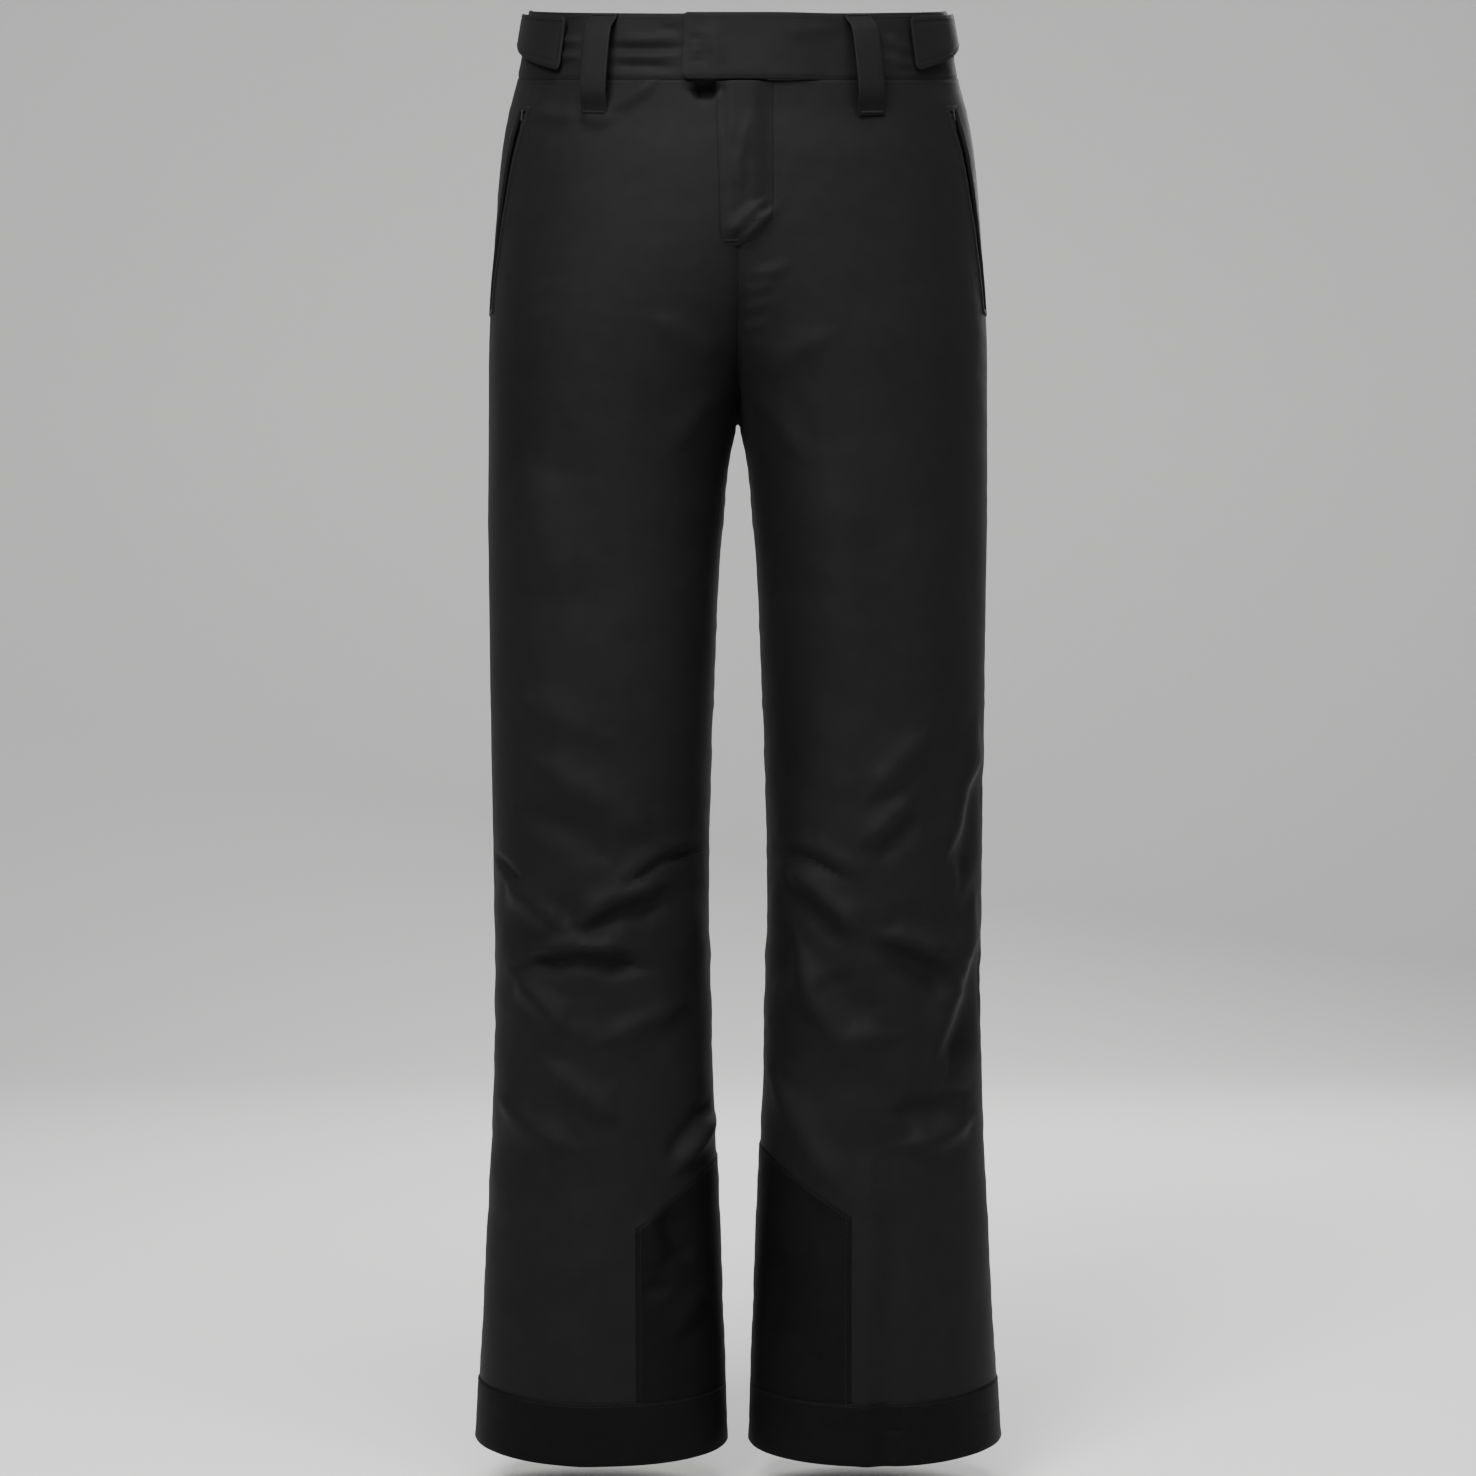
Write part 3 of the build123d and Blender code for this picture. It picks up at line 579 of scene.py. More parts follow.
class Graph:
    """Short names for adding nodes to one material and joining them."""

    def __init__(self, made):
        self.tree = made.node_tree
        self.shader = self.tree.nodes["Principled BSDF"]

    def node(self, kind, **values):
        return add_node(self.tree, kind, **values)

    def join(self, source, target):
        self.tree.links.new(source, target)

    def number(self, operation, first, second):
        """One sum on two values, each a socket or a plain number."""
        made = self.node("ShaderNodeMath", operation=operation)
        for socket, value in zip(made.inputs, (first, second)):
            if isinstance(value, (int, float)):
                socket.default_value = value
            else:
                self.join(value, socket)
        return made.outputs[0]

    def noise(self, vector, scale, detail):
        made = self.node("ShaderNodeTexNoise")
        made.inputs["Scale"].default_value = scale
        made.inputs["Detail"].default_value = detail
        self.join(vector, made.inputs["Vector"])
        return made.outputs["Fac"]

    def spread(self, value, low, high):
        """A value from 0 to 1 spread between two others."""
        made = self.node("ShaderNodeMapRange")
        made.inputs["From Min"].default_value = 0.3
        made.inputs["From Max"].default_value = 0.7
        made.inputs["To Min"].default_value = low
        made.inputs["To Max"].default_value = high
        self.join(value, made.inputs["Value"])
        return made.outputs["Result"]

    def bump(self, height, distance, strength, under=None):
        made = self.node("ShaderNodeBump")
        made.inputs["Distance"].default_value = distance
        made.inputs["Strength"].default_value = strength
        self.join(height, made.inputs["Height"])
        if under is not None:
            self.join(under, made.inputs["Normal"])
        self.join(made.outputs["Normal"], self.shader.inputs["Normal"])
        return made.outputs["Normal"]


def ribs(graph, vector, size, direction):
    """Ridges of one width across a direction of the cloth's map, from 0 to 1."""
    dot = graph.node("ShaderNodeVectorMath", operation="DOT_PRODUCT")
    graph.join(vector, dot.inputs[0])
    dot.inputs[1].default_value = (direction[0] / size, direction[1] / size, 0)
    wave = graph.number("SINE", graph.number("MULTIPLY", dot.outputs["Value"], 2 * math.pi), 0.0)
    return graph.number("ADD", graph.number("MULTIPLY", wave, 0.5), 0.5)


DYE_CONTRAST = 0.16


def woven(name, colour, roughness, sheen, rib, twill, depth, specular=0.09):
    """A fabric: twill has one set of diagonal ribs, plain weave has two crossed sets."""
    made = material(name, colour, roughness, sheen, specular=specular)
    graph = Graph(made)
    where = graph.node("ShaderNodeUVMap", uv_map="UVMap").outputs["UV"]
    place = graph.node("ShaderNodeTexCoord").outputs["Object"]
    if twill:
        weave = ribs(graph, where, rib, (0.62, 0.78))
        cross = ribs(graph, where, rib * 0.9, (0.95, -0.3))
        main_share = graph.number("MULTIPLY", weave, 0.75)
        cross_share = graph.number("MULTIPLY", cross, 0.25)
        weave = graph.number("ADD", main_share, cross_share)
    else:
        weave = graph.number("MULTIPLY", ribs(graph, where, rib, (1, 0)), ribs(graph, where, rib, (0, 1)))
    fibre = graph.noise(place, 1400, 2.0)
    slub = graph.noise(place, 90, 4.0)
    dye = graph.noise(place, 7, 3.0)
    normal = graph.bump(weave, depth, 0.55)
    normal = graph.bump(fibre, 0.00012, 0.35, normal)
    graph.bump(slub, 0.0006, 0.35, normal)
    shade = graph.number("MULTIPLY", graph.spread(dye, 1 - DYE_CONTRAST, 1 + DYE_CONTRAST),
                         graph.spread(slub, 1 - DYE_CONTRAST * 0.6, 1 + DYE_CONTRAST * 0.6))
    # painted shade of the weave: the ribs' crests are painted lighter and their grooves darker, on top of the
    # dye's random tone
    shade = graph.number("MULTIPLY", shade, graph.number("ADD", graph.number("MULTIPLY", weave, 0.35), 0.82))
    tint = graph.node("ShaderNodeVectorMath", operation="SCALE")
    tint.inputs[0].default_value = colour
    graph.join(shade, tint.inputs["Scale"])
    graph.join(tint.outputs["Vector"], graph.shader.inputs["Base Color"])
    graph.join(graph.spread(dye, roughness - 0.06, roughness + 0.06), graph.shader.inputs["Roughness"])
    return made


shell_twill = woven("shell_twill", (0.0047, 0.0047, 0.0050), 0.64, 0.014, 0.0006, True, 0.00010)
tough_weave = woven("tough_weave", (0.0026, 0.0026, 0.0029), 0.62, 0.006, 0.0009, False, 0.00016,
                    specular=0.06)
tricot = woven("tricot_lining", (0.012, 0.012, 0.013), 0.85, 0.08, 0.0011, False, 0.00014)
taffeta = woven("gaiter_taffeta", (0.007, 0.007, 0.0075), 0.50, 0.02, 0.0004, False, 0.00006)
webbing = woven("loop_webbing", (0.0046, 0.0046, 0.0049), 0.64, 0.014, 0.0006, True, 0.00010)
elastic = woven("ribbed_elastic", (0.009, 0.009, 0.0095), 0.66, 0.03, 0.0016, False, 0.00030)
tape_weave = woven("zip_tape_weave", (0.007, 0.007, 0.0075), 0.66, 0.02, 0.0008, True, 0.00012)
loop_pile = woven("loop_pile", (0.008, 0.008, 0.0085), 0.90, 0.10, 0.0007, False, 0.00030)
thread = material("thread", (0.0060, 0.0060, 0.0066), 0.45, 0.01, specular=0.16)
coil_nylon = material("coil_nylon", (0.014, 0.014, 0.015), 0.38)
hook_nylon = material("hook_nylon", (0.012, 0.012, 0.013), 0.45)
print("fabrics:", ", ".join(m.name for m in (shell_twill, tough_weave, tricot, taffeta, webbing, elastic)))


# %% Painted metal for snaps, sliders, pulls and lace hooks
def painted_metal():
    """Black paint with fine orange peel, rubbed a little thinner in patches."""
    made = material("black_painted_metal", (0.020, 0.020, 0.021), 0.34, metallic=0.35, coat=0.25)
    graph = Graph(made)
    place = graph.node("ShaderNodeTexCoord").outputs["Object"]
    peel = graph.noise(place, 900, 2.0)
    rub = graph.noise(place, 160, 4.0)
    graph.bump(peel, 0.00006, 0.4)
    graph.join(graph.spread(rub, 0.26, 0.46), graph.shader.inputs["Roughness"])
    tint = graph.node("ShaderNodeVectorMath", operation="SCALE")
    tint.inputs[0].default_value = (0.020, 0.020, 0.021)
    graph.join(graph.spread(rub, 0.8, 1.5), tint.inputs["Scale"])
    graph.join(tint.outputs["Vector"], graph.shader.inputs["Base Color"])
    return made


metal = painted_metal()

# %% [markdown]
# ## The legs
# Each leg is one front panel and one back panel from the waistband's seam to the hem, with no seam at the
# knee: the creases there are darts. The front panel stops short of the zip above the fly's end, and has a
# slot for the hand pocket. Both panels bend with the knee, so they are blended between the seat and the
# lower leg.

# %% Leg panels
FLY_BOTTOM = 183.0
POCKET_TOP, POCKET_BOTTOM = 78.0, 212.0
POCKET_TOP_ANGLE, POCKET_BOTTOM_ANGLE = 24.0, 13.0
SLOT = 8.4
SLOT_TOP, SLOT_BOTTOM = POCKET_TOP - 5, POCKET_BOTTOM + 10
SHELL_THICK = 1.4
KNEE = -[j for j in frame["joints"] if j["name"] == "knee_bend_left"][0]["pos_m"][2] * 1000
KNEE_BEND_ZONE = 100.0
LEG_ROWS = 290
SLOT_CELLS = slice(8, 11)
CENTRE_SEAM_GAP = 0.7


def centre_angle(side, drop):
    """Angle of a panel's centre edge: beside the zip above the fly's end, and on the centre seam below it."""
    beside_zip = 12.0 if side > 0 else 4.0
    edge = beside_zip * (1 - smooth((drop - FLY_BOTTOM + 10) / 16)) + 0.05
    return np.where(drop >= CROTCH, 180.0, angle_at_x(drop, edge))


def slot_angles(drop):
    """The two edges of the pocket's slot, as angles."""
    t = np.clip((drop - POCKET_TOP) / (POCKET_BOTTOM - POCKET_TOP), -0.2, 1.1)
    middle = POCKET_TOP_ANGLE + (POCKET_BOTTOM_ANGLE - POCKET_TOP_ANGLE) * t
    per_degree = np.linalg.norm(surface(drop, middle + 0.5) - surface(drop, middle - 0.5), axis=-1)
    return middle - SLOT / 2 / per_degree, middle + SLOT / 2 / per_degree


def front_leg(side, name):
    drops = np.linspace(WAISTBAND, HEM - HEM_BAND + 1, LEG_ROWS)
    near, far = slot_angles(drops)
    end = centre_angle(side, drops)
    columns = [near[:, None] * np.linspace(0, 1, 9)[:-1]]
    columns += [near[:, None] + (far - near)[:, None] * np.linspace(0, 1, 4)[:-1]]
    columns += [far[:, None] + (end - far)[:, None] * np.linspace(0, 1, 76)]
    angles = np.concatenate(columns, axis=1)
    points, normals = shell(side, drops[:, None], angles)
    points[(drops > FLY_BOTTOM + 5) & (drops < CROTCH), -1, 0] = -CENTRE_SEAM_GAP * side
    keep = np.ones((len(drops) - 1, angles.shape[1] - 1), bool)
    in_slot = (drops[:-1] > SLOT_TOP - 2) & (drops[1:] < SLOT_BOTTOM + 2)
    keep[in_slot, SLOT_CELLS] = False
    return thicken(grid_piece(name, points, normals, keep), SHELL_THICK)


def back_leg(side, name):
    drops = np.linspace(WAISTBAND, HEM - HEM_BAND + 1, LEG_ROWS)
    end = np.where(drops >= CROTCH, 180.0, angle_at_x(drops, 0.05))
    angles = -end[:, None] * np.linspace(0, 1, 84)
    points, normals = shell(side, drops[:, None], angles)
    points[drops < CROTCH, -1, 0] = -CENTRE_SEAM_GAP * side
    return thicken(grid_piece(name, points, normals), SHELL_THICK)


def knee_blend(piece, side_name):
    """The piece bends between the seat and the lower leg, over the same stretch on both sides of the knee."""
    top, bottom = (-(KNEE - KNEE_BEND_ZONE) * MM, -(KNEE + KNEE_BEND_ZONE) * MM)
    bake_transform(piece, "garment", f"lower_leg_{side_name}", start=(0, 0, top), end=(0, 0, bottom))


SIDES = (("left", 1), ("right", -1))
for side_name, side in SIDES:
    add_piece(front_leg(side, f"front_leg_{side_name}"), shell_twill)
    add_piece(back_leg(side, f"back_leg_{side_name}"), shell_twill)

# %% [markdown]
# ## Hem bands and scuff guards
# A ski boot's buckles and edges wear a hem out, so a band of tougher cloth goes right round it, folded
# under at the bottom, and a guard of the same cloth covers the inside of the ankle. Both follow the leg's
# own folds, a millimetre above it, so they sit on it everywhere.

# %% Hem bands
def hem_arch(angle):
    """How much higher the hem is cut at the side and inside seams than at front and back."""
    c = np.cos(np.radians(angle))
    return np.where(c > 0, 7.0, 4.0) * c * c


def full_turn(side, drops, count, lift):
    """A ring of the shell's surface, from the back of the inseam all the way round."""
    angles = np.linspace(-180, 180, count)[None, :]
    return shell(side, np.asarray(drops)[:, None] - hem_arch(angles), angles, lift)


def turned_hem(points, normals, thickness):
    """Adds rows that fold a ring's lower edge round and up inside it."""
    rows = [points]
    for turn, up in ((60, 0.0), (120, 0.0), (180, 0.0), (180, 12.0), (180, 24.0)):
        radius = thickness / 2
        inward = radius * (1 - math.cos(math.radians(turn)))
        below = radius * math.sin(math.radians(turn)) - up
        rows.append(points[-1:] - normals[-1:] * inward + np.array([0, 0, -below]))
    return np.concatenate(rows), np.concatenate([normals] + [normals[-1:]] * 5)


def hem_band(side, name):
    top = HEM - HEM_BAND
    drops = np.concatenate([[top, top + 1.2], np.linspace(top + 4, HEM - 1.6, 14)])
    lift = np.concatenate([[0.1, 0.9], np.full(14, 1.0)])[:, None]
    points, normals = full_turn(side, drops, 181, lift)
    points, normals = turned_hem(points, normals, 2.4)
    return thicken(grid_piece(name, points, normals, closed=True), 0.9, 0.2)


# %% Scuff guards
GUARD_EDGE = {1: 80.0, -1: 72.0}
GUARD_SHOULDER, GUARD_TOP = 865.0, 820.0


def guard_top(side, angle):
    """Drop of the guard's upper edge: level at its outer edge, and rising to the inseam."""
    x = surface(GUARD_SHOULDER, angle)[..., 0]
    inseam = surface(GUARD_SHOULDER, 180.0)[..., 0]
    t = np.clip((x - inseam) / (GUARD_EDGE[side] - inseam), 0, 1)
    return GUARD_TOP + (8 if side < 0 else 0) + (GUARD_SHOULDER - GUARD_TOP) * t


def guard_angles(side):
    edge = float(angle_at_x(np.array(930.0), GUARD_EDGE[side]))
    return np.linspace(edge, 360 - edge, 62)


def scuff_guard(side, name):
    angles = guard_angles(side)
    wrapped = wrapped_turn(angles)
    top = guard_top(side, wrapped)
    t = np.linspace(0, 1, 58)[:, None]
    bottom = HEM - HEM_BAND + 0.5 - hem_arch(wrapped)
    drops = top[None, :] + (bottom - top)[None, :] * t
    edge = np.minimum(np.minimum(angles - angles[0], angles[-1] - angles) / 1.2, (drops - top) / 2.5)
    lift = 0.15 + 0.75 * smooth(edge)
    points, normals = shell(side, drops, np.broadcast_to(wrapped, drops.shape), lift)
    return thicken(grid_piece(name, points, normals), 0.8, 0.2)


for side_name, side in SIDES:
    add_piece(hem_band(side, f"hem_{side_name}"), tough_weave)
    add_piece(scuff_guard(side, f"guard_{side_name}"), tough_weave)

# %% [markdown]
# ## Snow gaiters
# Inside each hem hangs a thin cuff, sewn in high up the calf and gathered at the boot by elastic, which
# keeps snow out. A hook at its front clips to the boot's lace. Loose taffeta makes many small upright
# folds where the elastic draws it in, so the ripple grows towards the bottom.

# %% Gaiters and their elastic
GAITER_TOP, GAITER_BOTTOM = 850.0, HEM - 14


def gaiter_inset(drop):
    return np.interp(drop, [GAITER_TOP, 900, 960, GAITER_BOTTOM], [3.0, 12.0, 22.0, 27.0])


def gaiter(side, name):
    levels = np.linspace(GAITER_TOP, GAITER_BOTTOM, 46)
    inset = gaiter_inset(levels)[:, None]
    drops, angles, points, normals = oval_grid(levels, np.linspace(-180, 180, 217), inset)
    gather = smooth((drops - 900) / 110)
    ripple = np.sin(np.radians(angles) * 46 + 2.2 * np.sin(np.radians(angles) * 5))
    height = gather * (0.4 + 0.8 * ripple) + 0.5 * turbulence(points, 22, 9, (1, 1, 0.5)) * gather - 0.4
    height = np.where(drops > 925, height, np.minimum(height, 0))
    height = height * smooth((180 - np.abs(angles)) / 3)
    points = mirrored(points + normals * height[..., None], side)
    return thicken(grid_piece(name, points, mirrored(normals, side), closed=True), 0.5, 0.1)


def ribbed_ring(side, name):
    """Elastic inside the gaiter's hem, with upright ribs."""
    levels = np.linspace(GAITER_BOTTOM - 24, GAITER_BOTTOM, 9)
    _, angles, points, normals = oval_grid(levels, np.linspace(-180, 180, 289), 29.2)
    ribs_up = 0.25 * np.sin(np.radians(angles) * 96)
    points = mirrored(points + normals * ribs_up[..., None], side)
    return thicken(grid_piece(name, points, mirrored(normals, side), closed=True), 1.1, 0.2)


for side_name, side in SIDES:
    add_piece(gaiter(side, f"gaiter_{side_name}"), taffeta)
    add_piece(ribbed_ring(side, f"gaiter_elastic_ring_{side_name}"), elastic)

# %% [markdown]
# ## The waistband
# The band is two layers of shell cloth folded over at the top. Its left front runs on past the centre as
# a tab that snaps down over the right front, so the tab and the band are one strip that bends where it
# opens. The back is gathered by elastic, which throws it into short upright ripples.

# %% Waistband strips
OVERLAP_LIFT = 4.0
TAB_END = 37.7
TAB_CORNER = 3.5
BACK_START = 28.0
BAND_THICK = 2.0
BAND_FOLDS = [
    ([(-90, 19), (-66, 19), (-44, 18)], 0.7, 3.0),
    ([(-92, 26), (-66, 26), (-36, 25)], -1.3, 2.7),
    ([(-90, 32), (-66, 32), (-40, 32)], 0.9, 3.0),
    ([(-90, 39), (-66, 39), (-42, 40)], -0.9, 2.7),
    ([(-56, 10), (-46, 11), (-38, 14)], -0.7, 2.5),
    ([(-17, 6), (-15, 24), (-16, 46)], 0.6, 3.2),
    ([(-110, 20), (-118, 21), (-126, 20)], 1.2, 3.0),
    ([(-110, 31), (-120, 33), (-130, 31)], 1.2, 3.0),
    ([(104, 16), (112, 24), (122, 30)], 1.4, 3.2),
    ([(104, 30), (113, 36), (124, 41)], 1.3, 3.2),
    ([(30, 12), (46, 14), (70, 11)], 0.5, 5.0),
    ([(-30, 10), (-16, 24), (-4, 38)], 0.5, 6.0),
    # the snaps press through the tab
    ([(-28, 18), (-28, 20)], -0.7, 4.0),
    ([(-28, 35), (-28, 37)], -0.7, 4.0),
    ([(-28, 27), (-28, 29)], 0.5, 4.0),
]


def overlap_lift(x):
    return OVERLAP_LIFT * smooth((72 - x) / 50)


def band_surface(drop, angle, lift):
    """The waistband's outer face; angle runs on past 90 to the wearer's right and back."""
    points, normals = surface(drop, angle), outward(drop, angle)
    level = drop + 0 * angle
    folds = sum(fold_height(*fold, points[..., 0], level) for fold in BAND_FOLDS)
    height = 1.5 * folds * (points[..., 1] < 0)
    height = height + 0.7 * turbulence(points, 34, 12, (0.7, 0.7, 1.4)) + 0.2 * turbulence(points, 9, 13)
    edge = np.minimum(drop, WAISTBAND - drop)
    height = height * (0.4 + 0.6 * smooth(edge / 10)) - 0.7 * np.exp(-(((WAISTBAND - drop) / 2.2) ** 2))
    return points + normals * (height + lift)[..., None], normals


def tab_corner(x):
    """How far the tab's upper and lower edges come in as they round its end."""
    gap = np.clip(TAB_CORNER - (x + TAB_END), 0, TAB_CORNER)
    return TAB_CORNER - np.sqrt(TAB_CORNER**2 - gap**2)


def band_strip(name, angles, lift_of_x=None, rippled=0.0):
    """A strip of waistband whose cloth folds over at the top and comes down again inside."""
    outside, folded_over = np.linspace(WAISTBAND, 1.2, 26), [0.35, 0.0, 0.35, 1.2]
    drops = np.concatenate([outside, folded_over, np.linspace(4, WAISTBAND, 9)])
    inside = np.concatenate([np.zeros(26), [0.3, 1.0, 1.7, 2.0], np.full(9, 2.0)]) * BAND_THICK / 2
    drops, angles = np.broadcast_arrays(drops[:, None], np.asarray(angles, float)[None, :])
    if lift_of_x is not None:
        corner = tab_corner(surface(drops, angles)[..., 0])
        drops = corner + drops * (WAISTBAND - 2 * corner) / WAISTBAND
    lift = -inside[:, None] + (0 if lift_of_x is None else lift_of_x(surface(drops, angles)[..., 0]))
    if rippled:
        around = np.abs(angles) - BACK_START
        wave = np.sin(np.radians(angles) * 44 + 1.5 * np.sin(np.radians(angles) * 9) + drops * 0.03)
        lift = lift + rippled * wave * smooth(around / 8) - 0.2
    points, normals = band_surface(drops, angles, lift)
    piece = grid_piece(name, points, normals)
    return thicken(piece, 0.5, 0.1)


tab_angle = float(angle_at_x(np.array(25.0), TAB_END))
to_tab = np.linspace(60, 178.4 - tab_angle, 42)
rounded_end = 180 - tab_angle - 1.6 * np.array([0.75, 0.5, 0.3, 0.12, 0.03, 0.0])
left_angles = np.concatenate([np.linspace(-BACK_START, 60, 46)[:-1], to_tab, rounded_end])
right_angles = np.linspace(180 + BACK_START, 84, 92)
add_piece(band_strip("band_left_with_tab", left_angles, overlap_lift), shell_twill)
add_piece(band_strip("band_right", right_angles), shell_twill)
back_angles = np.linspace(-BACK_START, -180 + BACK_START, 190)
add_piece(band_strip("band_back", back_angles, rippled=0.55), shell_twill)

# %% Waistband lining and its elastic
LINING_INSET = 4.1


def lining_ring():
    """A brushed strip inside the band, from one front round the back to the other."""
    levels, turn = np.linspace(3, WAISTBAND + 2, 20), np.linspace(60, -240, 220)
    _, angles, points, normals = oval_grid(levels, turn, LINING_INSET)
    gathered = smooth((np.abs(angles + 90) * -1 + 60) / 12)
    wave = 0.25 * gathered * np.sin(np.radians(angles) * 44)
    height = wave + 0.25 * turbulence(points, 16, 21)
    points = points + normals * height[..., None]
    return thicken(grid_piece("band_lining", points, normals), 1.0, 0.2)


def band_elastic():
    levels = np.linspace(8, WAISTBAND - 8, 12)
    turn = np.linspace(-BACK_START - 3, -180 + BACK_START + 3, 400)
    _, angles, points, normals = oval_grid(levels, turn, 2.6)
    points = points + normals * (0.2 * np.sin(np.radians(angles) * 160))[..., None]
    return thicken(grid_piece("band_elastic", points, normals), 0.8, 0.1)


add_piece(lining_ring(), tricot)
add_piece(band_elastic(), elastic)

# %% [markdown]
# ## The fly
# A zip closes the fly, and an overlap of shell cloth folds over it. The overlap is part of the left
# front: it is sewn down along a J, straight at first and then curving to the fly's end. It folds back
# with the waistband's tab. Behind the zip a shield keeps it off the wearer, and a facing carries the
# zip's left tape.

# %% Fly overlap
FLAP_ROOT, FLAP_EDGE = 30.0, -15.0
J_STRAIGHT, J_END = 165.0, 187.0


def front_at(drop, x, flat):
    """Points and normals on the shell's front at any x; flat rounds off the centre's cleft."""
    reach = np.hypot(x, flat)
    drop, reach = np.broadcast_arrays(np.asarray(drop, float), reach)
    angle = angle_at_x(drop, reach)
    points, normals = surface(drop, angle), outward(drop, angle)
    sign = np.where(np.broadcast_to(x, drop.shape) < 0, -1.0, 1.0)
    points[..., 0] = np.broadcast_to(x, drop.shape)
    normals[..., 0] *= sign * np.clip(np.abs(x) / 8, 0, 1)
    normals /= np.linalg.norm(normals, axis=-1, keepdims=True)
    return points, normals, relief(points, angle)


def flap_bottom(x):
    """The overlap's lower edge, which follows the J of its stitching."""
    t = np.clip((x + 9) / (FLAP_ROOT - 4 + 9), 0, 1)
    return J_STRAIGHT + (J_END - J_STRAIGHT) * np.sqrt(np.maximum(1 - t * t, 0.02))


def flap_lift(x, drop):
    """Below the shell at the root, high over the zip's slider, and close to the shell at the free edge."""
    over_slider = 1 - smooth((drop - 84) / 26)
    rise = smooth((25.0 - x) / 16) * (2.5 + 1.1 * over_slider)
    fall = smooth((-3.0 - x) / 9) * (1.4 + 0.7 * over_slider)
    dip = -2.4 * smooth((x - 24.0) / 3)
    bottom = smooth((flap_bottom(x) - drop) / 14)
    return (0.25 + rise - fall) * bottom + dip - 0.45 * (1 - bottom)


def fly_flap():
    across = np.linspace(0, 1, 40)
    down = np.linspace(0, 1, 70)[:, None]
    edge = FLAP_EDGE + 3.4 * down
    x = FLAP_ROOT + (edge - FLAP_ROOT) * across[None, :]
    drop = (WAISTBAND + 1.3) + (flap_bottom(x) - WAISTBAND - 1.3) * down
    points, normals, height = front_at(drop, x, flat=7)
    wrinkle = fold_height([(20, 150), (4, 166), (-10, 184)], 1.8, 5, x, drop)
    wrinkle += fold_height([(8, 80), (0, 120), (2, 150)], 1.0, 5, x, drop)
    wrinkle += fold_height([(16, 166), (6, 176), (-4, 180)], -1.2, 3, x, drop)
    total = height + wrinkle + flap_lift(x, drop)
    piece = grid_piece("fly_overlap_cloth", points + normals * total[..., None], normals)
    return thicken(piece, 1.0, 0.25)


add_piece(fly_flap(), shell_twill)


# %% Facing and shield behind the fly
def behind_fly(name, x_from, x_to, inset, thickness, wave):
    x = np.linspace(x_from, x_to, 22)[None, :]
    drop = np.linspace(WAISTBAND + 1.5, FLY_BOTTOM, 46)[:, None]
    points, normals, _ = front_at(drop, x, flat=4)
    height = -inset + wave * turbulence(points, 26, 31)
    return thicken(grid_piece(name, points + normals * height[..., None], normals), thickness, 0.2)


add_piece(behind_fly("facing_cloth", 9.5, 36, 2.5, 0.9, 0.15), tricot)
add_piece(behind_fly("shield_cloth", -18, 34, 10.3, 1.1, 0.5), tricot)

# %% [markdown]
# ## Waist adjusters
# At each side a tab runs forward from behind the side seam and grips with hook-and-loop, so the waist can
# be drawn in. Its free end is tall and rounded. The tab lies over the band, so its cloth stands off it by
# the patches' thickness, and comes down to the band where it is sewn.

# %% Adjuster tabs
TAB_FREE, TAB_SEWN = 40.5, -22.0
TAB_LIFT = 4.6


def tab_edges(angle):
    """Drops of a tab's upper and lower edges: rounded at the free end, tapering to the side seam."""
    forward = np.clip(angle / TAB_FREE, 0, 1)
    top = 3.5 + 0 * angle
    bottom = 26.0 + 18.5 * forward
    along = (TAB_FREE - angle) * 2.1
    corner = 5.0
    round_off = corner - np.sqrt(np.maximum(corner**2 - np.maximum(corner - along, 0) ** 2, 0))
    return top + round_off, bottom - round_off


def tab_points(side, angles, along_height, lift):
    """Points across a tab; along_height runs from 0 at its upper edge to 1 at its lower edge."""
    top, bottom = tab_edges(angles)
    drop = top + (bottom - top) * along_height
    points, normals = surface(drop, angles), outward(drop, angles)
    height = lift + 0.35 * turbulence(points * [side, 1, 1], 24, 41)
    return mirrored(points + normals * height[..., None], side), mirrored(normals, side)


def tab_lift(angle):
    """How far a tab's cloth stands off the band: a millimetre where sewn, and over the patches beyond."""
    return 1.0 + (TAB_LIFT - 1.0) * smooth((angle - TAB_SEWN - 1) / 9)


def adjuster_tab(side, name):
    angles = TAB_FREE - (TAB_FREE - TAB_SEWN) * np.linspace(0, 1, 76) ** 1.15
    angles, height = np.broadcast_arrays(angles[None, :], np.linspace(0, 1, 30)[:, None])
    rim = np.minimum(np.minimum(height, 1 - height) * 30, (TAB_FREE - angles) * 2.1)
    lift = tab_lift(angles) - 0.5 * np.exp(-((rim / 1.2) ** 2))
    lift = lift - 0.35 * np.exp(-(((rim - 4.0) / 0.9) ** 2))
    points, normals = tab_points(side, angles, height, lift)
    return thicken(grid_piece(name, points, normals), 1.6, 0.35)


def patch(side, name, start, end, low, high, lift, thickness):
    turn, across = np.linspace(start, end, 34), np.linspace(low, high, 20)
    angles, height = np.broadcast_arrays(turn[None, :], across[:, None])
    points, normals = tab_points(side, angles, height, lift)
    return thicken(grid_piece(name, points, normals), thickness, 0.15)


for side_name, side in SIDES:
    tab, hook, loop = (f"{part}_{side_name}" for part in ("adjuster_cloth", "hook_pad", "loop_pad"))
    add_piece(adjuster_tab(side, tab), shell_twill)
    hook_pad = patch(side, hook, TAB_FREE - 2.5, TAB_FREE - 20, 0.12, 0.88, TAB_LIFT - 1.75, 0.7)
    add_piece(hook_pad, hook_nylon)
    add_piece(patch(side, loop, TAB_FREE - 2.0, 7, 0.10, 0.90, 1.35, 0.8), loop_pile)

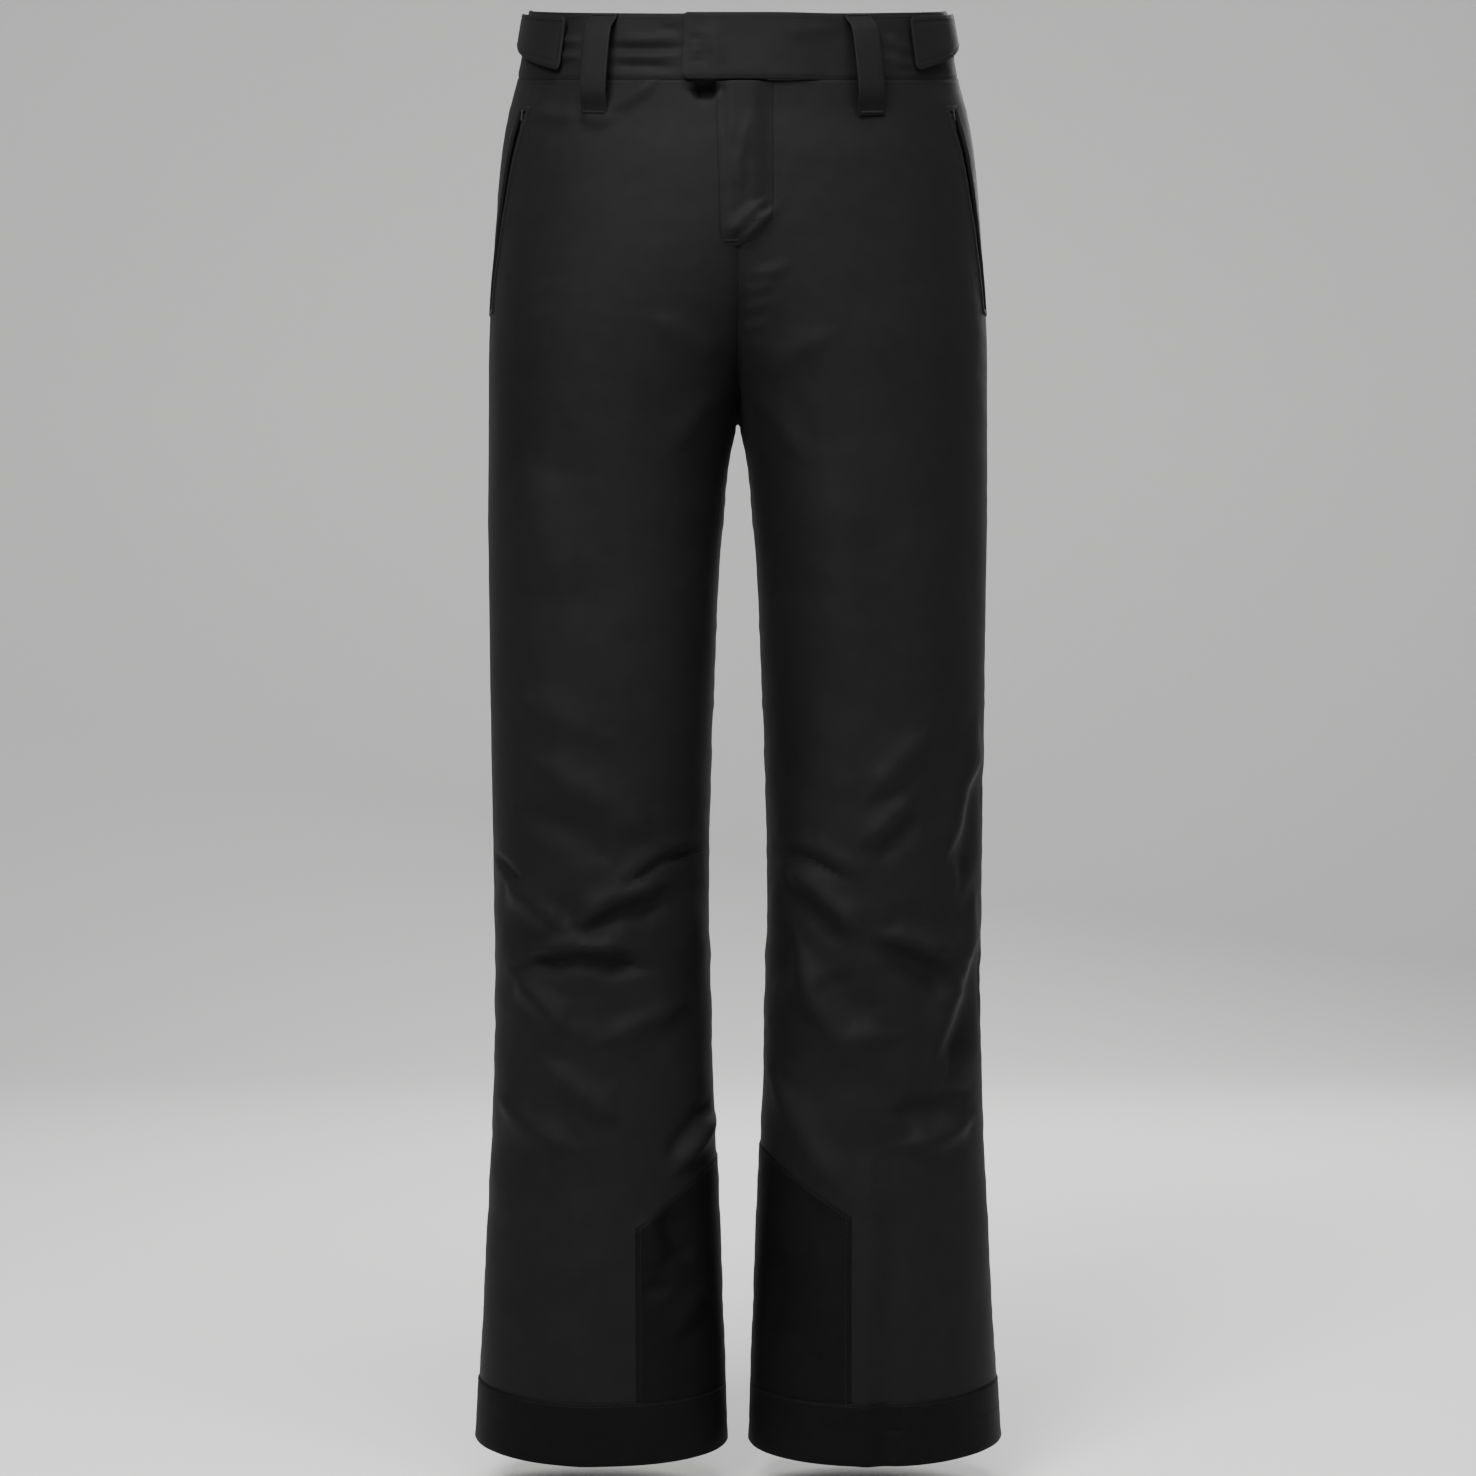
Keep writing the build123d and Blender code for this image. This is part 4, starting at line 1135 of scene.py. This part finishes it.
# %% [markdown]
# ## Belt loops
# Each loop is a strip of shell cloth folded in three. It is sewn down at the band's top and below the
# band's seam, and bows out between the two to let a belt through. Its path is drawn from the side, and
# then given its width.

# %% Belt loops
LOOP_WIDTH, LOOP_THICK, LOOP_LENGTH = 20.0, 1.8, 76.0
LOOP_PLACES = {
    "front": (float(angle_at_x(np.array(0.0), 92.0)), 8.0),
    "back": (-52.0, 10.5),
    "centre_back": (-90.0, 8.0),
}
LOOPS = [(place, side_name, side) for place in ("front", "back") for side_name, side in SIDES]
LOOPS.append(("centre_back", "", 1))
LOOP_ROWS = 60
# How far each front loop is sewn outwards of its mark, at its top and at its bottom.
LOOP_SHIFT = {("front", 1): (-10.8, -1.6), ("front", -1): (0.6, 6.1)}


def loop_shift(place, side, rows):
    """Sideways place of a loop's middle line at each of its rows."""
    top, bottom = LOOP_SHIFT.get((place, side), (0.0, 0.0))
    return top + (bottom - top) * np.asarray(rows) / (LOOP_ROWS - 1)


def level_outward(drop, angle):
    out = outward(np.array(drop), np.array(angle)) * [1, 1, 0]
    return out / np.linalg.norm(out)


def smooth_path(corners, count):
    """A curve through a few points, as (out, height) pairs evenly spread."""
    corners = np.array(corners, float)
    before, after = 2 * corners[:1] - corners[1:2], 2 * corners[-1:] - corners[-2:-1]
    padded_ends = np.concatenate([before, corners, after])
    spans = len(corners) - 1
    t = np.linspace(0, spans, count)
    i = np.minimum(t.astype(int), spans - 1)
    f = (t - i)[:, None]
    p0, p1, p2, p3 = (padded_ends[i + k] for k in range(4))
    return 0.5 * (2 * p1 + (p2 - p0) * f + (2 * p0 - 5 * p1 + 4 * p2 - p3) * f**2
                  + (3 * p1 - p0 - 3 * p2 + p3) * f**3)


def loop_path(angle, stand):
    """A loop's outer face seen from the side, as (outward, upward) pairs from the band's top edge."""
    seat = surface(np.array(0.0), np.array(angle))
    low = surface(np.array(LOOP_LENGTH), np.array(angle))
    lean = float((low - seat) @ level_outward(LOOP_LENGTH / 2, angle))
    drop = float(seat[2] - low[2])
    outer = LOOP_THICK + 0.15
    return smooth_path([
        (outer * 0.75, -1.0), (outer + 1.0, -4.2), (stand * 0.86 + outer + lean * 0.15, -13),
        (stand + outer + lean * 0.5, -drop * 0.5), (stand * 0.86 + outer + lean * 0.85, -drop + 13),
        (lean + outer + 1.2, -drop + 2), (lean + outer * 0.9, -drop - 3.0),
    ], LOOP_ROWS)


def on_loop(place, side, rows, sideways, reach):
    """Points on a loop: rows count down its path, sideways is across it, reach is outside its face."""
    angle, stand = LOOP_PLACES[place]
    out = level_outward(LOOP_LENGTH / 2, angle)
    across = np.array([-out[1], out[0], 0])
    if place == "front":
        across = across + np.array([0, 0, FRONT_TILT * across[1]])
    seat = surface(np.array(0.0), np.array(angle))
    path = loop_path(angle, stand)[rows]
    sideways = sideways + loop_shift(place, side, rows)[:, None]
    points = seat + out * (path[:, :1] + reach)[..., None] + across * sideways[..., None]
    points = points + np.array([0, 0, 1.0]) * path[:, 1][:, None, None]
    points = points + out * (0.4 * turbulence(points, 22, 51))[..., None]
    return mirrored(points, side), mirrored(np.broadcast_to(out, points.shape), side)


def belt_loop(name, place, side):
    v = np.linspace(-1, 1, 19)[None, :]
    edge = 0.45 * smooth((np.abs(v) - 0.86) / 0.14) + 0.3 * np.exp(-(((np.abs(v) - 0.74) / 0.05) ** 2))
    piece = grid_piece(name, *on_loop(place, side, np.arange(LOOP_ROWS), v * LOOP_WIDTH / 2, -edge))
    return thicken(piece, 1.5, 0.35)


for place, side_name, side in LOOPS:
    add_piece(belt_loop(f"loop_{place}_{side_name}".rstrip("_"), place, side), webbing)

# %% [markdown]
# ## Hand pockets
# The pocket's zip sits in a slot beside the outseam. The slot's raw edges are bound by a welt of the same
# cloth, and a bag of knit lining hangs behind it, flat against the leg while the pocket is empty.

# %% Pocket welts and bags
HALF_WELT = 67.0


def pocket_welt(side, name):
    """A frame of folded cloth round the slot, drawn as one closed strip that follows its edge."""
    drops = np.linspace(SLOT_TOP + 1.5, SLOT_BOTTOM - 1.5, 46)
    near, far = slot_angles(drops)
    loop_drops = np.concatenate([drops, drops[::-1]])
    loop_angles = np.concatenate([near, far[::-1]])
    middle = (near + far) / 2
    away = np.concatenate([near - middle, (far - middle)[::-1]])
    rows = []
    for spread, lift in ((0.02, -1.6), (0.02, 0.5), (0.25, 0.9), (0.85, 0.9), (1.05, 0.1)):
        stretched = (loop_drops - loop_drops.mean()) * (1 + 4.0 * spread / HALF_WELT) + loop_drops.mean()
        rows.append(shell(side, stretched, loop_angles + away * spread, lift))
    points = np.stack([row[0] for row in rows])
    normals = np.stack([row[1] for row in rows])
    points = np.concatenate([points, points[:, :1]], axis=1)
    normals = np.concatenate([normals, normals[:, :1]], axis=1)
    return thicken(grid_piece(name, points, normals, closed=True), 0.6, 0.15)


def pocket_bag(side, name):
    levels = np.linspace(POCKET_TOP - 8, POCKET_BOTTOM + 55, 60)
    _, _, points, normals = oval_grid(levels, np.linspace(8, 62, 44), 12.2)
    points, normals = mirrored(points, side), mirrored(normals, side)
    height = 0.8 * turbulence(points, 40, 61) + 0.3 * turbulence(points, 14, 62)
    return thicken(grid_piece(name, points + normals * height[..., None], normals), 0.9, 0.2)


for side_name, side in SIDES:
    add_piece(pocket_welt(side, f"pocket_welt_{side_name}"), shell_twill)
    add_piece(pocket_bag(side, f"pocket_lining_{side_name}"), tricot)

# %% [markdown]
# ## One small shape, many times
# Thread shows on a seam as a row of short dashes, and a zip as two rows of nylon turns. Both are a small
# rounded shape repeated along a line. Geometry Nodes walks the line, sets one shape at every pitch, and
# turns it to lie along the line with its top facing away from the cloth.

# %% The repeat
def new_input(tree, label, kind):
    return tree.interface.new_socket(label, in_out="INPUT", socket_type=kind)


repeat = bpy.data.node_groups.new("repeat_along_line", "GeometryNodeTree")
line_input = new_input(repeat, "Line", "NodeSocketGeometry")
pitch_input = new_input(repeat, "Pitch", "NodeSocketFloat")
size_input = new_input(repeat, "Size", "NodeSocketVector")
paint_input = new_input(repeat, "Material", "NodeSocketMaterial")
repeat.interface.new_socket("Result", in_out="OUTPUT", socket_type="NodeSocketGeometry")


def build_repeat(tree):
    """Line, resampled at the pitch, with one ellipsoid of the given size on each point."""
    add = functools.partial(add_node, tree)
    given, result = add("NodeGroupInput"), add("NodeGroupOutput")
    curve = add("GeometryNodeMeshToCurve")
    even = add("GeometryNodeResampleCurve", mode="LENGTH")
    ball = add("GeometryNodeMeshUVSphere")
    ball.inputs["Segments"].default_value = 6
    ball.inputs["Rings"].default_value = 4
    ball.inputs["Radius"].default_value = 0.5
    sized = add("GeometryNodeTransform")
    tangent = add("GeometryNodeInputTangent")
    out = add("GeometryNodeInputNamedAttribute", data_type="FLOAT_VECTOR")
    out.inputs["Name"].default_value = "out"
    along = add("FunctionNodeAlignRotationToVector", axis="X")
    upright = add("FunctionNodeAlignRotationToVector", axis="Z", pivot_axis="X")
    place = add("GeometryNodeInstanceOnPoints")
    real = add("GeometryNodeRealizeInstances")
    rounded = add("GeometryNodeSetShadeSmooth")
    painted = add("GeometryNodeSetMaterial")
    for source, target in (
        (given.outputs["Line"], curve.inputs["Mesh"]),
        (curve.outputs["Curve"], even.inputs["Curve"]),
        (given.outputs["Pitch"], even.inputs["Length"]),
        (ball.outputs["Mesh"], sized.inputs["Geometry"]),
        (given.outputs["Size"], sized.inputs["Scale"]),
        (tangent.outputs["Tangent"], along.inputs["Vector"]),
        (along.outputs["Rotation"], upright.inputs["Rotation"]),
        (out.outputs["Attribute"], upright.inputs["Vector"]),
        (even.outputs["Curve"], place.inputs["Points"]),
        (sized.outputs["Geometry"], place.inputs["Instance"]),
        (upright.outputs["Rotation"], place.inputs["Rotation"]),
        (place.outputs["Instances"], real.inputs["Geometry"]),
        (real.outputs["Geometry"], rounded.inputs["Geometry"]),
        (rounded.outputs["Geometry"], painted.inputs["Geometry"]),
        (given.outputs["Material"], painted.inputs["Material"]),
        (painted.outputs["Geometry"], result.inputs["Result"]),
    ):
        tree.links.new(source, target)


build_repeat(repeat)


def repeated(name, lines, pitch, size, paint):
    """A piece of small shapes along lines, each given as (points, normals); sizes are in millimetres."""
    corners, edges, outs = [], [], []
    for points, normals in lines:
        first = len(corners)
        corners += (points * MM).tolist()
        outs += normals.tolist()
        edges += [(first + i, first + i + 1) for i in range(len(points) - 1)]
    mesh = bpy.data.meshes.new(name)
    mesh.from_pydata(corners, edges, [])
    facing = mesh.attributes.new("out", "FLOAT_VECTOR", "POINT")
    facing.data.foreach_set("vector", np.array(outs, np.float32).ravel())
    piece = new_object(name, mesh)
    modifier = piece.modifiers.new("repeat", "NODES")
    modifier.node_group = repeat
    modifier[pitch_input.identifier] = pitch * MM
    modifier[size_input.identifier] = [part * MM for part in size]
    modifier[paint_input.identifier] = paint
    bake(piece)
    pieces[name] = piece


STITCH_PITCH, STITCH_SIZE = 3.1, (2.3, 0.42, 0.34)
BARTACK_PITCH, BARTACK_SIZE = 0.55, (0.6, 2.2, 0.5)


def stitches(name, lines):
    repeated(name, lines, STITCH_PITCH, STITCH_SIZE, thread)


def bartacks(name, lines):
    repeated(name, lines, BARTACK_PITCH, BARTACK_SIZE, thread)


def through(corners):
    """Evenly spread (x, drop) pairs along straight runs between corners."""
    corners = np.array(corners, float)
    lengths = np.concatenate([[0], np.cumsum(np.linalg.norm(np.diff(corners, axis=0), axis=1))])
    at = np.linspace(0, lengths[-1], 40)
    return np.interp(at, lengths, corners[:, 0]), np.interp(at, lengths, corners[:, 1])


def front_line(side, corners, lift=0.1):
    """A line on the shell's front through (distance from the centre, drop) pairs."""
    x, drop = through(corners)
    return shell(side, drop, angle_at_x(drop, x), lift)


# %% Seams of the legs
DARTS = {"right": [[(22, 606), (52, 614), (84, 636)], [(174, 610), (164, 618), (152, 632)]],
         "left": [[(28, 606), (52, 613), (80, 629)]]}


def leg_seams(side_name, side):
    """Topstitching behind the outseam and along the knee's darts."""
    drops = np.linspace(WAISTBAND + 2, HEM - HEM_BAND, 320)
    lines = [shell(side, drops, np.full(320, -1.6), 0.1)]
    for dart in DARTS[side_name]:
        lines.append(front_line(side, [(x, drop + 3.2) for x, drop in dart]))
    stitches(f"leg_seams_{side_name}", lines)


def cuff_seams(side_name, side):
    """Topstitching on the hem band's upper edge and round the scuff guard."""
    turn = np.linspace(-180, 180, 181)
    lines = [shell(side, HEM - HEM_BAND + 2.6 - hem_arch(turn), turn, 1.1)]
    edge = guard_angles(side)
    wrapped = wrapped_turn(edge)[1:-1]
    lines.append(shell(side, guard_top(side, wrapped) + 3.0, wrapped, 1.0))
    for end, inward in ((1, 0), (-2, -1)):
        low = HEM - HEM_BAND - float(hem_arch(wrapped[inward]))
        down = np.linspace(float(guard_top(side, wrapped[inward])) + 3, low, 40)
        lines.append(shell(side, down, np.full(40, wrapped[inward]), 1.0))
    stitches(f"cuff_seams_{side_name}", lines)


for side_name, side in SIDES:
    leg_seams(side_name, side)
    cuff_seams(side_name, side)
    print("leg seams", side_name, triangles(pieces[f"leg_seams_{side_name}"]), "triangles")

# %% Seams of the seat, waist and fly
def waist_seams():
    """Under the band, up the centre back, and down the front from the fly to the crotch."""
    lines = []
    for _, side in SIDES:
        start = 30.0 if side > 0 else 18.0
        near = float(angle_at_x(np.array(WAISTBAND + 2.5), start))
        round_to_back = np.linspace(near, -89.5, 150)
        lines.append(shell(side, np.full(150, WAISTBAND + 2.6), round_to_back, 0.1))
        back = np.linspace(WAISTBAND + 4, CROTCH - 6, 90)
        lines.append(shell(side, back, -angle_at_x(back, 4.0), 0.1))
    lines.append(front_line(1, [(4.0, FLY_BOTTOM + 12), (4.0, CROTCH - 8)]))
    lines.append(front_line(1, [(28.2, WAISTBAND + 4), (28.2, J_STRAIGHT)], 0.15))
    stitches("waist_seams", lines)


BAND_ROWS = (3.6, WAISTBAND - 3.4)


def band_seams():
    """Rows along the band's upper and lower edges, on both fronts and round to the gathered back."""
    lines = []
    for drop in BAND_ROWS:
        for turn in (np.linspace(90, 208, 90), np.linspace(60, -BACK_START, 90)):
            lines.append(band_surface(np.full(90, drop), turn, 0.1))
    stitches("band_seams", lines)


def tab_seams():
    """A row along the edges of the band's snapped overlap."""
    angles = np.linspace(60, 180 - tab_angle - 1.9, 60)
    lines = []
    for drop in BAND_ROWS:
        x = surface(np.full(60, drop), angles)[..., 0]
        lines.append(band_surface(np.full(60, drop), angles, overlap_lift(x) + 0.1))
    down = np.linspace(4, WAISTBAND - 4, 20)
    end = np.full(20, angles[-1])
    lines.append(band_surface(down, end, overlap_lift(surface(down, end)[..., 0]) + 0.1))
    stitches("tab_seams", lines)


def on_overlap(x, drop, above=0.2):
    """Points on the fly overlap's outer face."""
    points, normals, height = front_at(drop, x, flat=7)
    return points + normals * (height + flap_lift(x, drop) + above)[..., None], normals


def fly_seams():
    """The J's curve, sewn through the overlap's lower end, and the bartack that ends it."""
    t = np.linspace(0, 1, 40)
    x = 28.2 - 37 * np.sin(t * math.pi / 2)
    drop = J_STRAIGHT + (J_END - J_STRAIGHT - 3.5) * (1 - np.cos(t * math.pi / 2))
    stitches("fly_seams", [on_overlap(x, drop, 0.5)])
    bartacks("fly_bartacks", [on_overlap(np.linspace(-9, 0, 10), np.full(10, J_END - 4.5), 0.6)])


waist_seams()
band_seams()
tab_seams()
fly_seams()

# %% Seams of the adjusters, loops and pockets
def adjuster_seams(side_name, side):
    """A row round the tab, 3 mm in, and a box where it is sewn to the band."""
    forward = np.linspace(TAB_SEWN + 1, TAB_FREE - 1.8, 60)
    lines = []
    for height in (0.09, 0.91):
        lines.append(tab_points(side, forward, np.full(60, height), tab_lift(forward) + 0.1))
    for angle in (TAB_FREE - 1.8, TAB_SEWN + 1, TAB_SEWN + 9):
        across = np.linspace(0.09, 0.91, 24)
        lines.append(tab_points(side, np.full(24, angle), across, tab_lift(angle) + 0.1))
    stitches(f"adjuster_seams_{side_name}", lines)


def loop_line(place, side, sideways, start, end):
    """A row down a belt loop's outer face."""
    points, normals = on_loop(place, side, np.arange(start, end), np.array([[sideways]]), 0.15)
    return points[:, 0], normals[:, 0]


def loop_tack(place, side, row):
    """A bartack across a belt loop."""
    points, normals = on_loop(place, side, np.array([row]), np.linspace(-8, 8, 12)[None, :], 0.3)
    return points[0], normals[0]


def pocket_seams(side_name, side):
    """A frame of stitches round the slot, with a bartack at each end."""
    drops = np.linspace(SLOT_TOP - 1, SLOT_BOTTOM + 1, 70)
    near, far = slot_angles(drops)
    margin = (far - near) * 0.42
    lines = [shell(side, drops, near - margin, 0.1), shell(side, drops, far + margin, 0.1)]
    tacks = []
    for drop in (SLOT_TOP - 1, SLOT_BOTTOM + 1):
        low, high = (float(edge) for edge in slot_angles(np.array(drop)))
        spread = np.linspace(low - 0.6, high + 0.6, 12)
        tacks.append(shell(side, np.full(12, drop), spread, 0.2))
    stitches(f"pocket_seams_{side_name}", lines)
    bartacks(f"pocket_bartacks_{side_name}", tacks)


loop_rows, loop_tacks = [], []
for place, _, side in LOOPS:
    loop_rows += [loop_line(place, side, sideways, 3, 57) for sideways in (-7.4, 7.4)]
    loop_tacks += [loop_tack(place, side, row) for row in (4, 54)]
stitches("loop_seams", loop_rows)
bartacks("loop_bartacks", loop_tacks)
for side_name, side in SIDES:
    adjuster_seams(side_name, side)
    pocket_seams(side_name, side)
print("stitched pieces:", sum("seams" in name or "bartacks" in name for name in pieces))

# %% [markdown]
# ## Zips
# A coil zip is two woven tapes with a nylon coil sewn along each inner edge. The turns of one coil sit
# between those of the other. Each zip is drawn on its own flat plane, whose upward line runs along the
# chain.

# %% Tapes and coils
TAPE_EDGE, TAPE_GAP, TAPE_LEVEL = 9.7, 0.7, -0.9
COIL_PITCH = 1.3
TAPE_PAST_CHAIN = 12.0


def zip_plane(top, bottom, facing):
    """Length of a chain and its three directions: across, up the chain, and outward."""
    up = (top - bottom) / np.linalg.norm(top - bottom)
    out = facing - up * (facing @ up)
    out /= np.linalg.norm(out)
    return float(np.linalg.norm(top - bottom)), np.cross(up, out), up, out


def zip_pair(name, side, top, bottom, facing):
    """Both tapes as one piece, and both coils as another."""
    length, across, up, out = zip_plane(top, bottom, facing)
    x = np.concatenate([np.linspace(-TAPE_EDGE, -TAPE_GAP, 8), np.linspace(TAPE_GAP, TAPE_EDGE, 8)])
    y = np.linspace(9, -length - TAPE_PAST_CHAIN, 90)
    level = TAPE_LEVEL + 0.12 * np.sin(y / 7)[:, None] * (np.abs(x) > 5)
    points = top + across * x[None, :, None] + up * y[:, None, None] + out * level[..., None]
    points, normals = mirrored(points, side), mirrored(np.broadcast_to(out, points.shape), side)
    keep = np.ones((89, 15), bool)
    keep[:, 7] = False
    add_piece(thicken(grid_piece(f"{name}_tape", points, normals, keep), 0.5, 0.1), tape_weave)
    lines = []
    for offset, start in ((-1.25, 4.0), (1.25, 4.0 - COIL_PITCH / 2)):
        down = np.linspace(start, -length - 6 + start - 4, 120)
        row = top + across * offset + up * down[:, None]
        lines.append((mirrored(row, side), mirrored(np.broadcast_to(out, row.shape), side)))
    repeated(f"{name}_coil", lines, COIL_PITCH, (1.05, 2.5, 1.7), coil_nylon)


def shell_inset(drop, angle, inset):
    return surface(np.array(float(drop)), np.array(float(angle)), inset)


pocket_top = shell_inset(POCKET_TOP, POCKET_TOP_ANGLE, 5.1)
pocket_bottom = shell_inset(POCKET_BOTTOM, POCKET_BOTTOM_ANGLE, 5.1)
pocket_facing = shell_inset(145, 18.5, 0) - shell_inset(145, 18.5, 10)
for side_name, side in SIDES:
    zip_pair(f"pocket_{side_name}", side, pocket_top, pocket_bottom, pocket_facing)
fly_top = shell_inset(60, angle_at_x(np.array(60.0), 3, 3.6), 3.6)
fly_end = shell_inset(172, angle_at_x(np.array(172.0), 3, 3.6), 3.6)
zip_pair("fly", 1, fly_top, fly_end, np.array([0, -1.0, 0]))
print("coils", triangles(pieces["fly_coil"]), "and", triangles(pieces["pocket_left_coil"]), "triangles")

# %% Metal parts, with softened edges
def softened(node, width):
    """A copy of a metal part whose sharp edges are rounded, as casting and paint leave them."""
    piece = bpy.data.objects.new(f"{node}_metal", frame["nodes"][node].data.copy())
    scene.collection.objects.link(piece)
    piece.data.materials.clear()
    modify(piece, "WELD", merge_threshold=0.000001)
    modify(piece, "DECIMATE", decimate_type="DISSOLVE", angle_limit=math.radians(1))
    modify(piece, "BEVEL", width=width * MM, segments=2, limit_method="ANGLE", angle_limit=math.radians(40))
    piece.data.shade_smooth()
    modify(piece, "WEIGHTED_NORMAL", keep_sharp=False)
    add_piece(piece, metal)


METAL_NODES = {"fly_zip_slider": 0.12, "fly_zip_pull": 0.18, "snap_studs": 0.12, "snap_sockets": 0.12}
for side_name, _ in SIDES:
    METAL_NODES[f"pocket_zip_slider_{side_name}"] = 0.12
    METAL_NODES[f"pocket_zip_pull_{side_name}"] = 0.18
    METAL_NODES[f"gaiter_hook_{side_name}"] = 0.15
for node, width in METAL_NODES.items():
    softened(node, width)
print("metal parts:", ", ".join(METAL_NODES))

# %% [markdown]
# ## Who moves with what
# Each piece rides on the body of the imported model that it belongs to. Cloth that crosses a joint is
# blended between the joint's two bodies: legs at the knee, the tab and overlap at their fold, and the
# adjusters at their sewn end. A table also lists which imported parts each piece stands for, which are
# hidden, and a finish for each piece.

# %% Pieces that stand for imported parts
STANDS_FOR = {
    "band_left_with_tab": (("waistband_left", "closure_tab"), "shell_twill"),
    "band_right": (("waistband_right",), "shell_twill"),
    "band_back": (("waistband_back",), "shell_twill"),
    "band_lining": (("waistband_lining",), "lining_tricot"),
    "band_elastic": (("waistband_elastic",), "elastic"),
    "fly_overlap_cloth": (("fly_flap",), "shell_twill"),
    "facing_cloth": (("fly_facing",), "lining_tricot"),
    "shield_cloth": (("fly_shield",), "lining_tricot"),
    "fly_tape": (("fly_zip_tapes",), "zip_tape"),
    "fly_coil": (("fly_zip_coil",), "zip_coil"),
    "loop_centre_back": (("belt_loop_centre_back",), "loop_webbing"),
}
for side_name, _ in SIDES:
    for name, nodes, finish in (
        ("front_leg", ("front_thigh_panel", "front_knee_panel", "front_shin_panel"), "shell_twill"),
        ("back_leg", ("back_thigh_panel", "back_knee_panel", "back_calf_panel"), "shell_twill"),
        ("hem", ("hem_band",), "tough_fabric"),
        ("guard", ("scuff_guard",), "tough_fabric"),
        ("gaiter", ("snow_gaiter",), "gaiter_taffeta"),
        ("gaiter_elastic_ring", ("gaiter_elastic",), "elastic"),
        ("adjuster_cloth", ("adjuster_tab",), "shell_twill"),
        ("hook_pad", ("adjuster_hook_patch",), "hook_tape"),
        ("loop_pad", ("adjuster_loop_patch",), "loop_tape"),
        ("loop_front", ("belt_loop_front",), "loop_webbing"),
        ("loop_back", ("belt_loop_back",), "loop_webbing"),
        ("pocket_lining", ("pocket_bag",), "lining_tricot"),
    ):
        STANDS_FOR[f"{name}_{side_name}"] = (tuple(f"{node}_{side_name}" for node in nodes), finish)
    STANDS_FOR[f"pocket_{side_name}_tape"] = ((f"pocket_zip_tapes_{side_name}",), "zip_tape")
    STANDS_FOR[f"pocket_{side_name}_coil"] = ((f"pocket_zip_coil_{side_name}",), "zip_coil")
for node in METAL_NODES:
    finish = "snap_metal" if "snap" in node else "hook_steel" if "hook" in node else "zip_metal"
    STANDS_FOR[f"{node}_metal"] = ((node,), finish)
for name, (nodes, finish) in STANDS_FOR.items():
    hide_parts(*nodes)
print(len(STANDS_FOR), "pieces stand for packed parts;", len(pieces) - len(STANDS_FOR), "are added detail")


# %% Bodies
def overlap_blend(piece):
    """The fly overlap stays sewn at its lower end and folds back from there up."""
    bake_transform(piece, "garment", "fly_overlap", start=(0, 0, -0.190), end=(0, 0, -0.115))


def tab_blend(piece):
    """The band folds back along a line beside the centre."""
    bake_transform(piece, "garment", "fly_overlap", start=(0.030, -0.1, -0.05), end=(0.012, -0.1, -0.05))


def adjuster_blend(piece, side_name, side):
    """The adjuster turns at its sewn end."""
    start, end = (0.148 * side, 0.050, -0.02), (0.152 * side, 0.030, -0.02)
    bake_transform(piece, "garment", f"adjuster_{side_name}", start=start, end=end)


for name in ("fly_overlap_cloth", "fly_seams", "fly_bartacks"):
    overlap_blend(pieces[name])
for name in ("band_left_with_tab", "tab_seams"):
    tab_blend(pieces[name])
BODY = {
    "snap_sockets_metal": "fly_overlap",
    "fly_zip_slider_metal": "fly_slider",
    "fly_zip_pull_metal": "fly_slider",
}
for side_name, side in SIDES:
    for name in ("front_leg", "back_leg", "leg_seams"):
        knee_blend(pieces[f"{name}_{side_name}"], side_name)
    for name in ("adjuster_cloth", "adjuster_seams"):
        adjuster_blend(pieces[f"{name}_{side_name}"], side_name, side)
    BODY[f"hook_pad_{side_name}"] = f"adjuster_{side_name}"
    BODY[f"pocket_zip_slider_{side_name}_metal"] = f"pocket_slider_{side_name}"
    BODY[f"pocket_zip_pull_{side_name}_metal"] = f"pocket_pull_{side_name}"
    for name in (f"hem_{side_name}", f"guard_{side_name}", f"gaiter_{side_name}", f"cuff_seams_{side_name}",
                 f"gaiter_elastic_ring_{side_name}", f"gaiter_hook_{side_name}_metal"):
        BODY[name] = f"lower_leg_{side_name}"
for name, piece in pieces.items():
    if "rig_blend" not in piece:
        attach(piece, BODY.get(name, "garment"))
print("blended:", ", ".join(name for name, piece in pieces.items() if "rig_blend" in piece))

# %% Cloth and how it was cut
SEWN_CLOTH = {
    "band_left_with_tab": "folded", "band_right": "folded", "band_back": "gathered", "band_lining": "hung",
    "band_elastic": "stretched", "fly_overlap_cloth": "hung", "facing_cloth": "hung", "shield_cloth": "hung",
}
for side_name, _ in SIDES:
    for name, held in (("front_leg", "hung"), ("back_leg", "hung"), ("hem", "folded"), ("guard", "hung"),
                       ("gaiter", "gathered"), ("gaiter_elastic_ring", "stretched"), ("adjuster_cloth", "laid"),
                       ("pocket_lining", "hung"), ("loop_front", "folded"), ("loop_back", "folded")):
        SEWN_CLOTH[f"{name}_{side_name}"] = held
SEWN_CLOTH["loop_centre_back"] = "folded"
for name, held in SEWN_CLOTH.items():
    width, length, area = CUTS[name]
    print(f"{name}: cut {width * 1000:.0f} x {length * 1000:.0f} mm, {area:.4f} square metres, {held}")

total = sum(triangles(piece) for piece in pieces.values())
print(len(pieces), "pieces,", total, "triangles; largest",
      max((triangles(piece), name) for name, piece in pieces.items()))
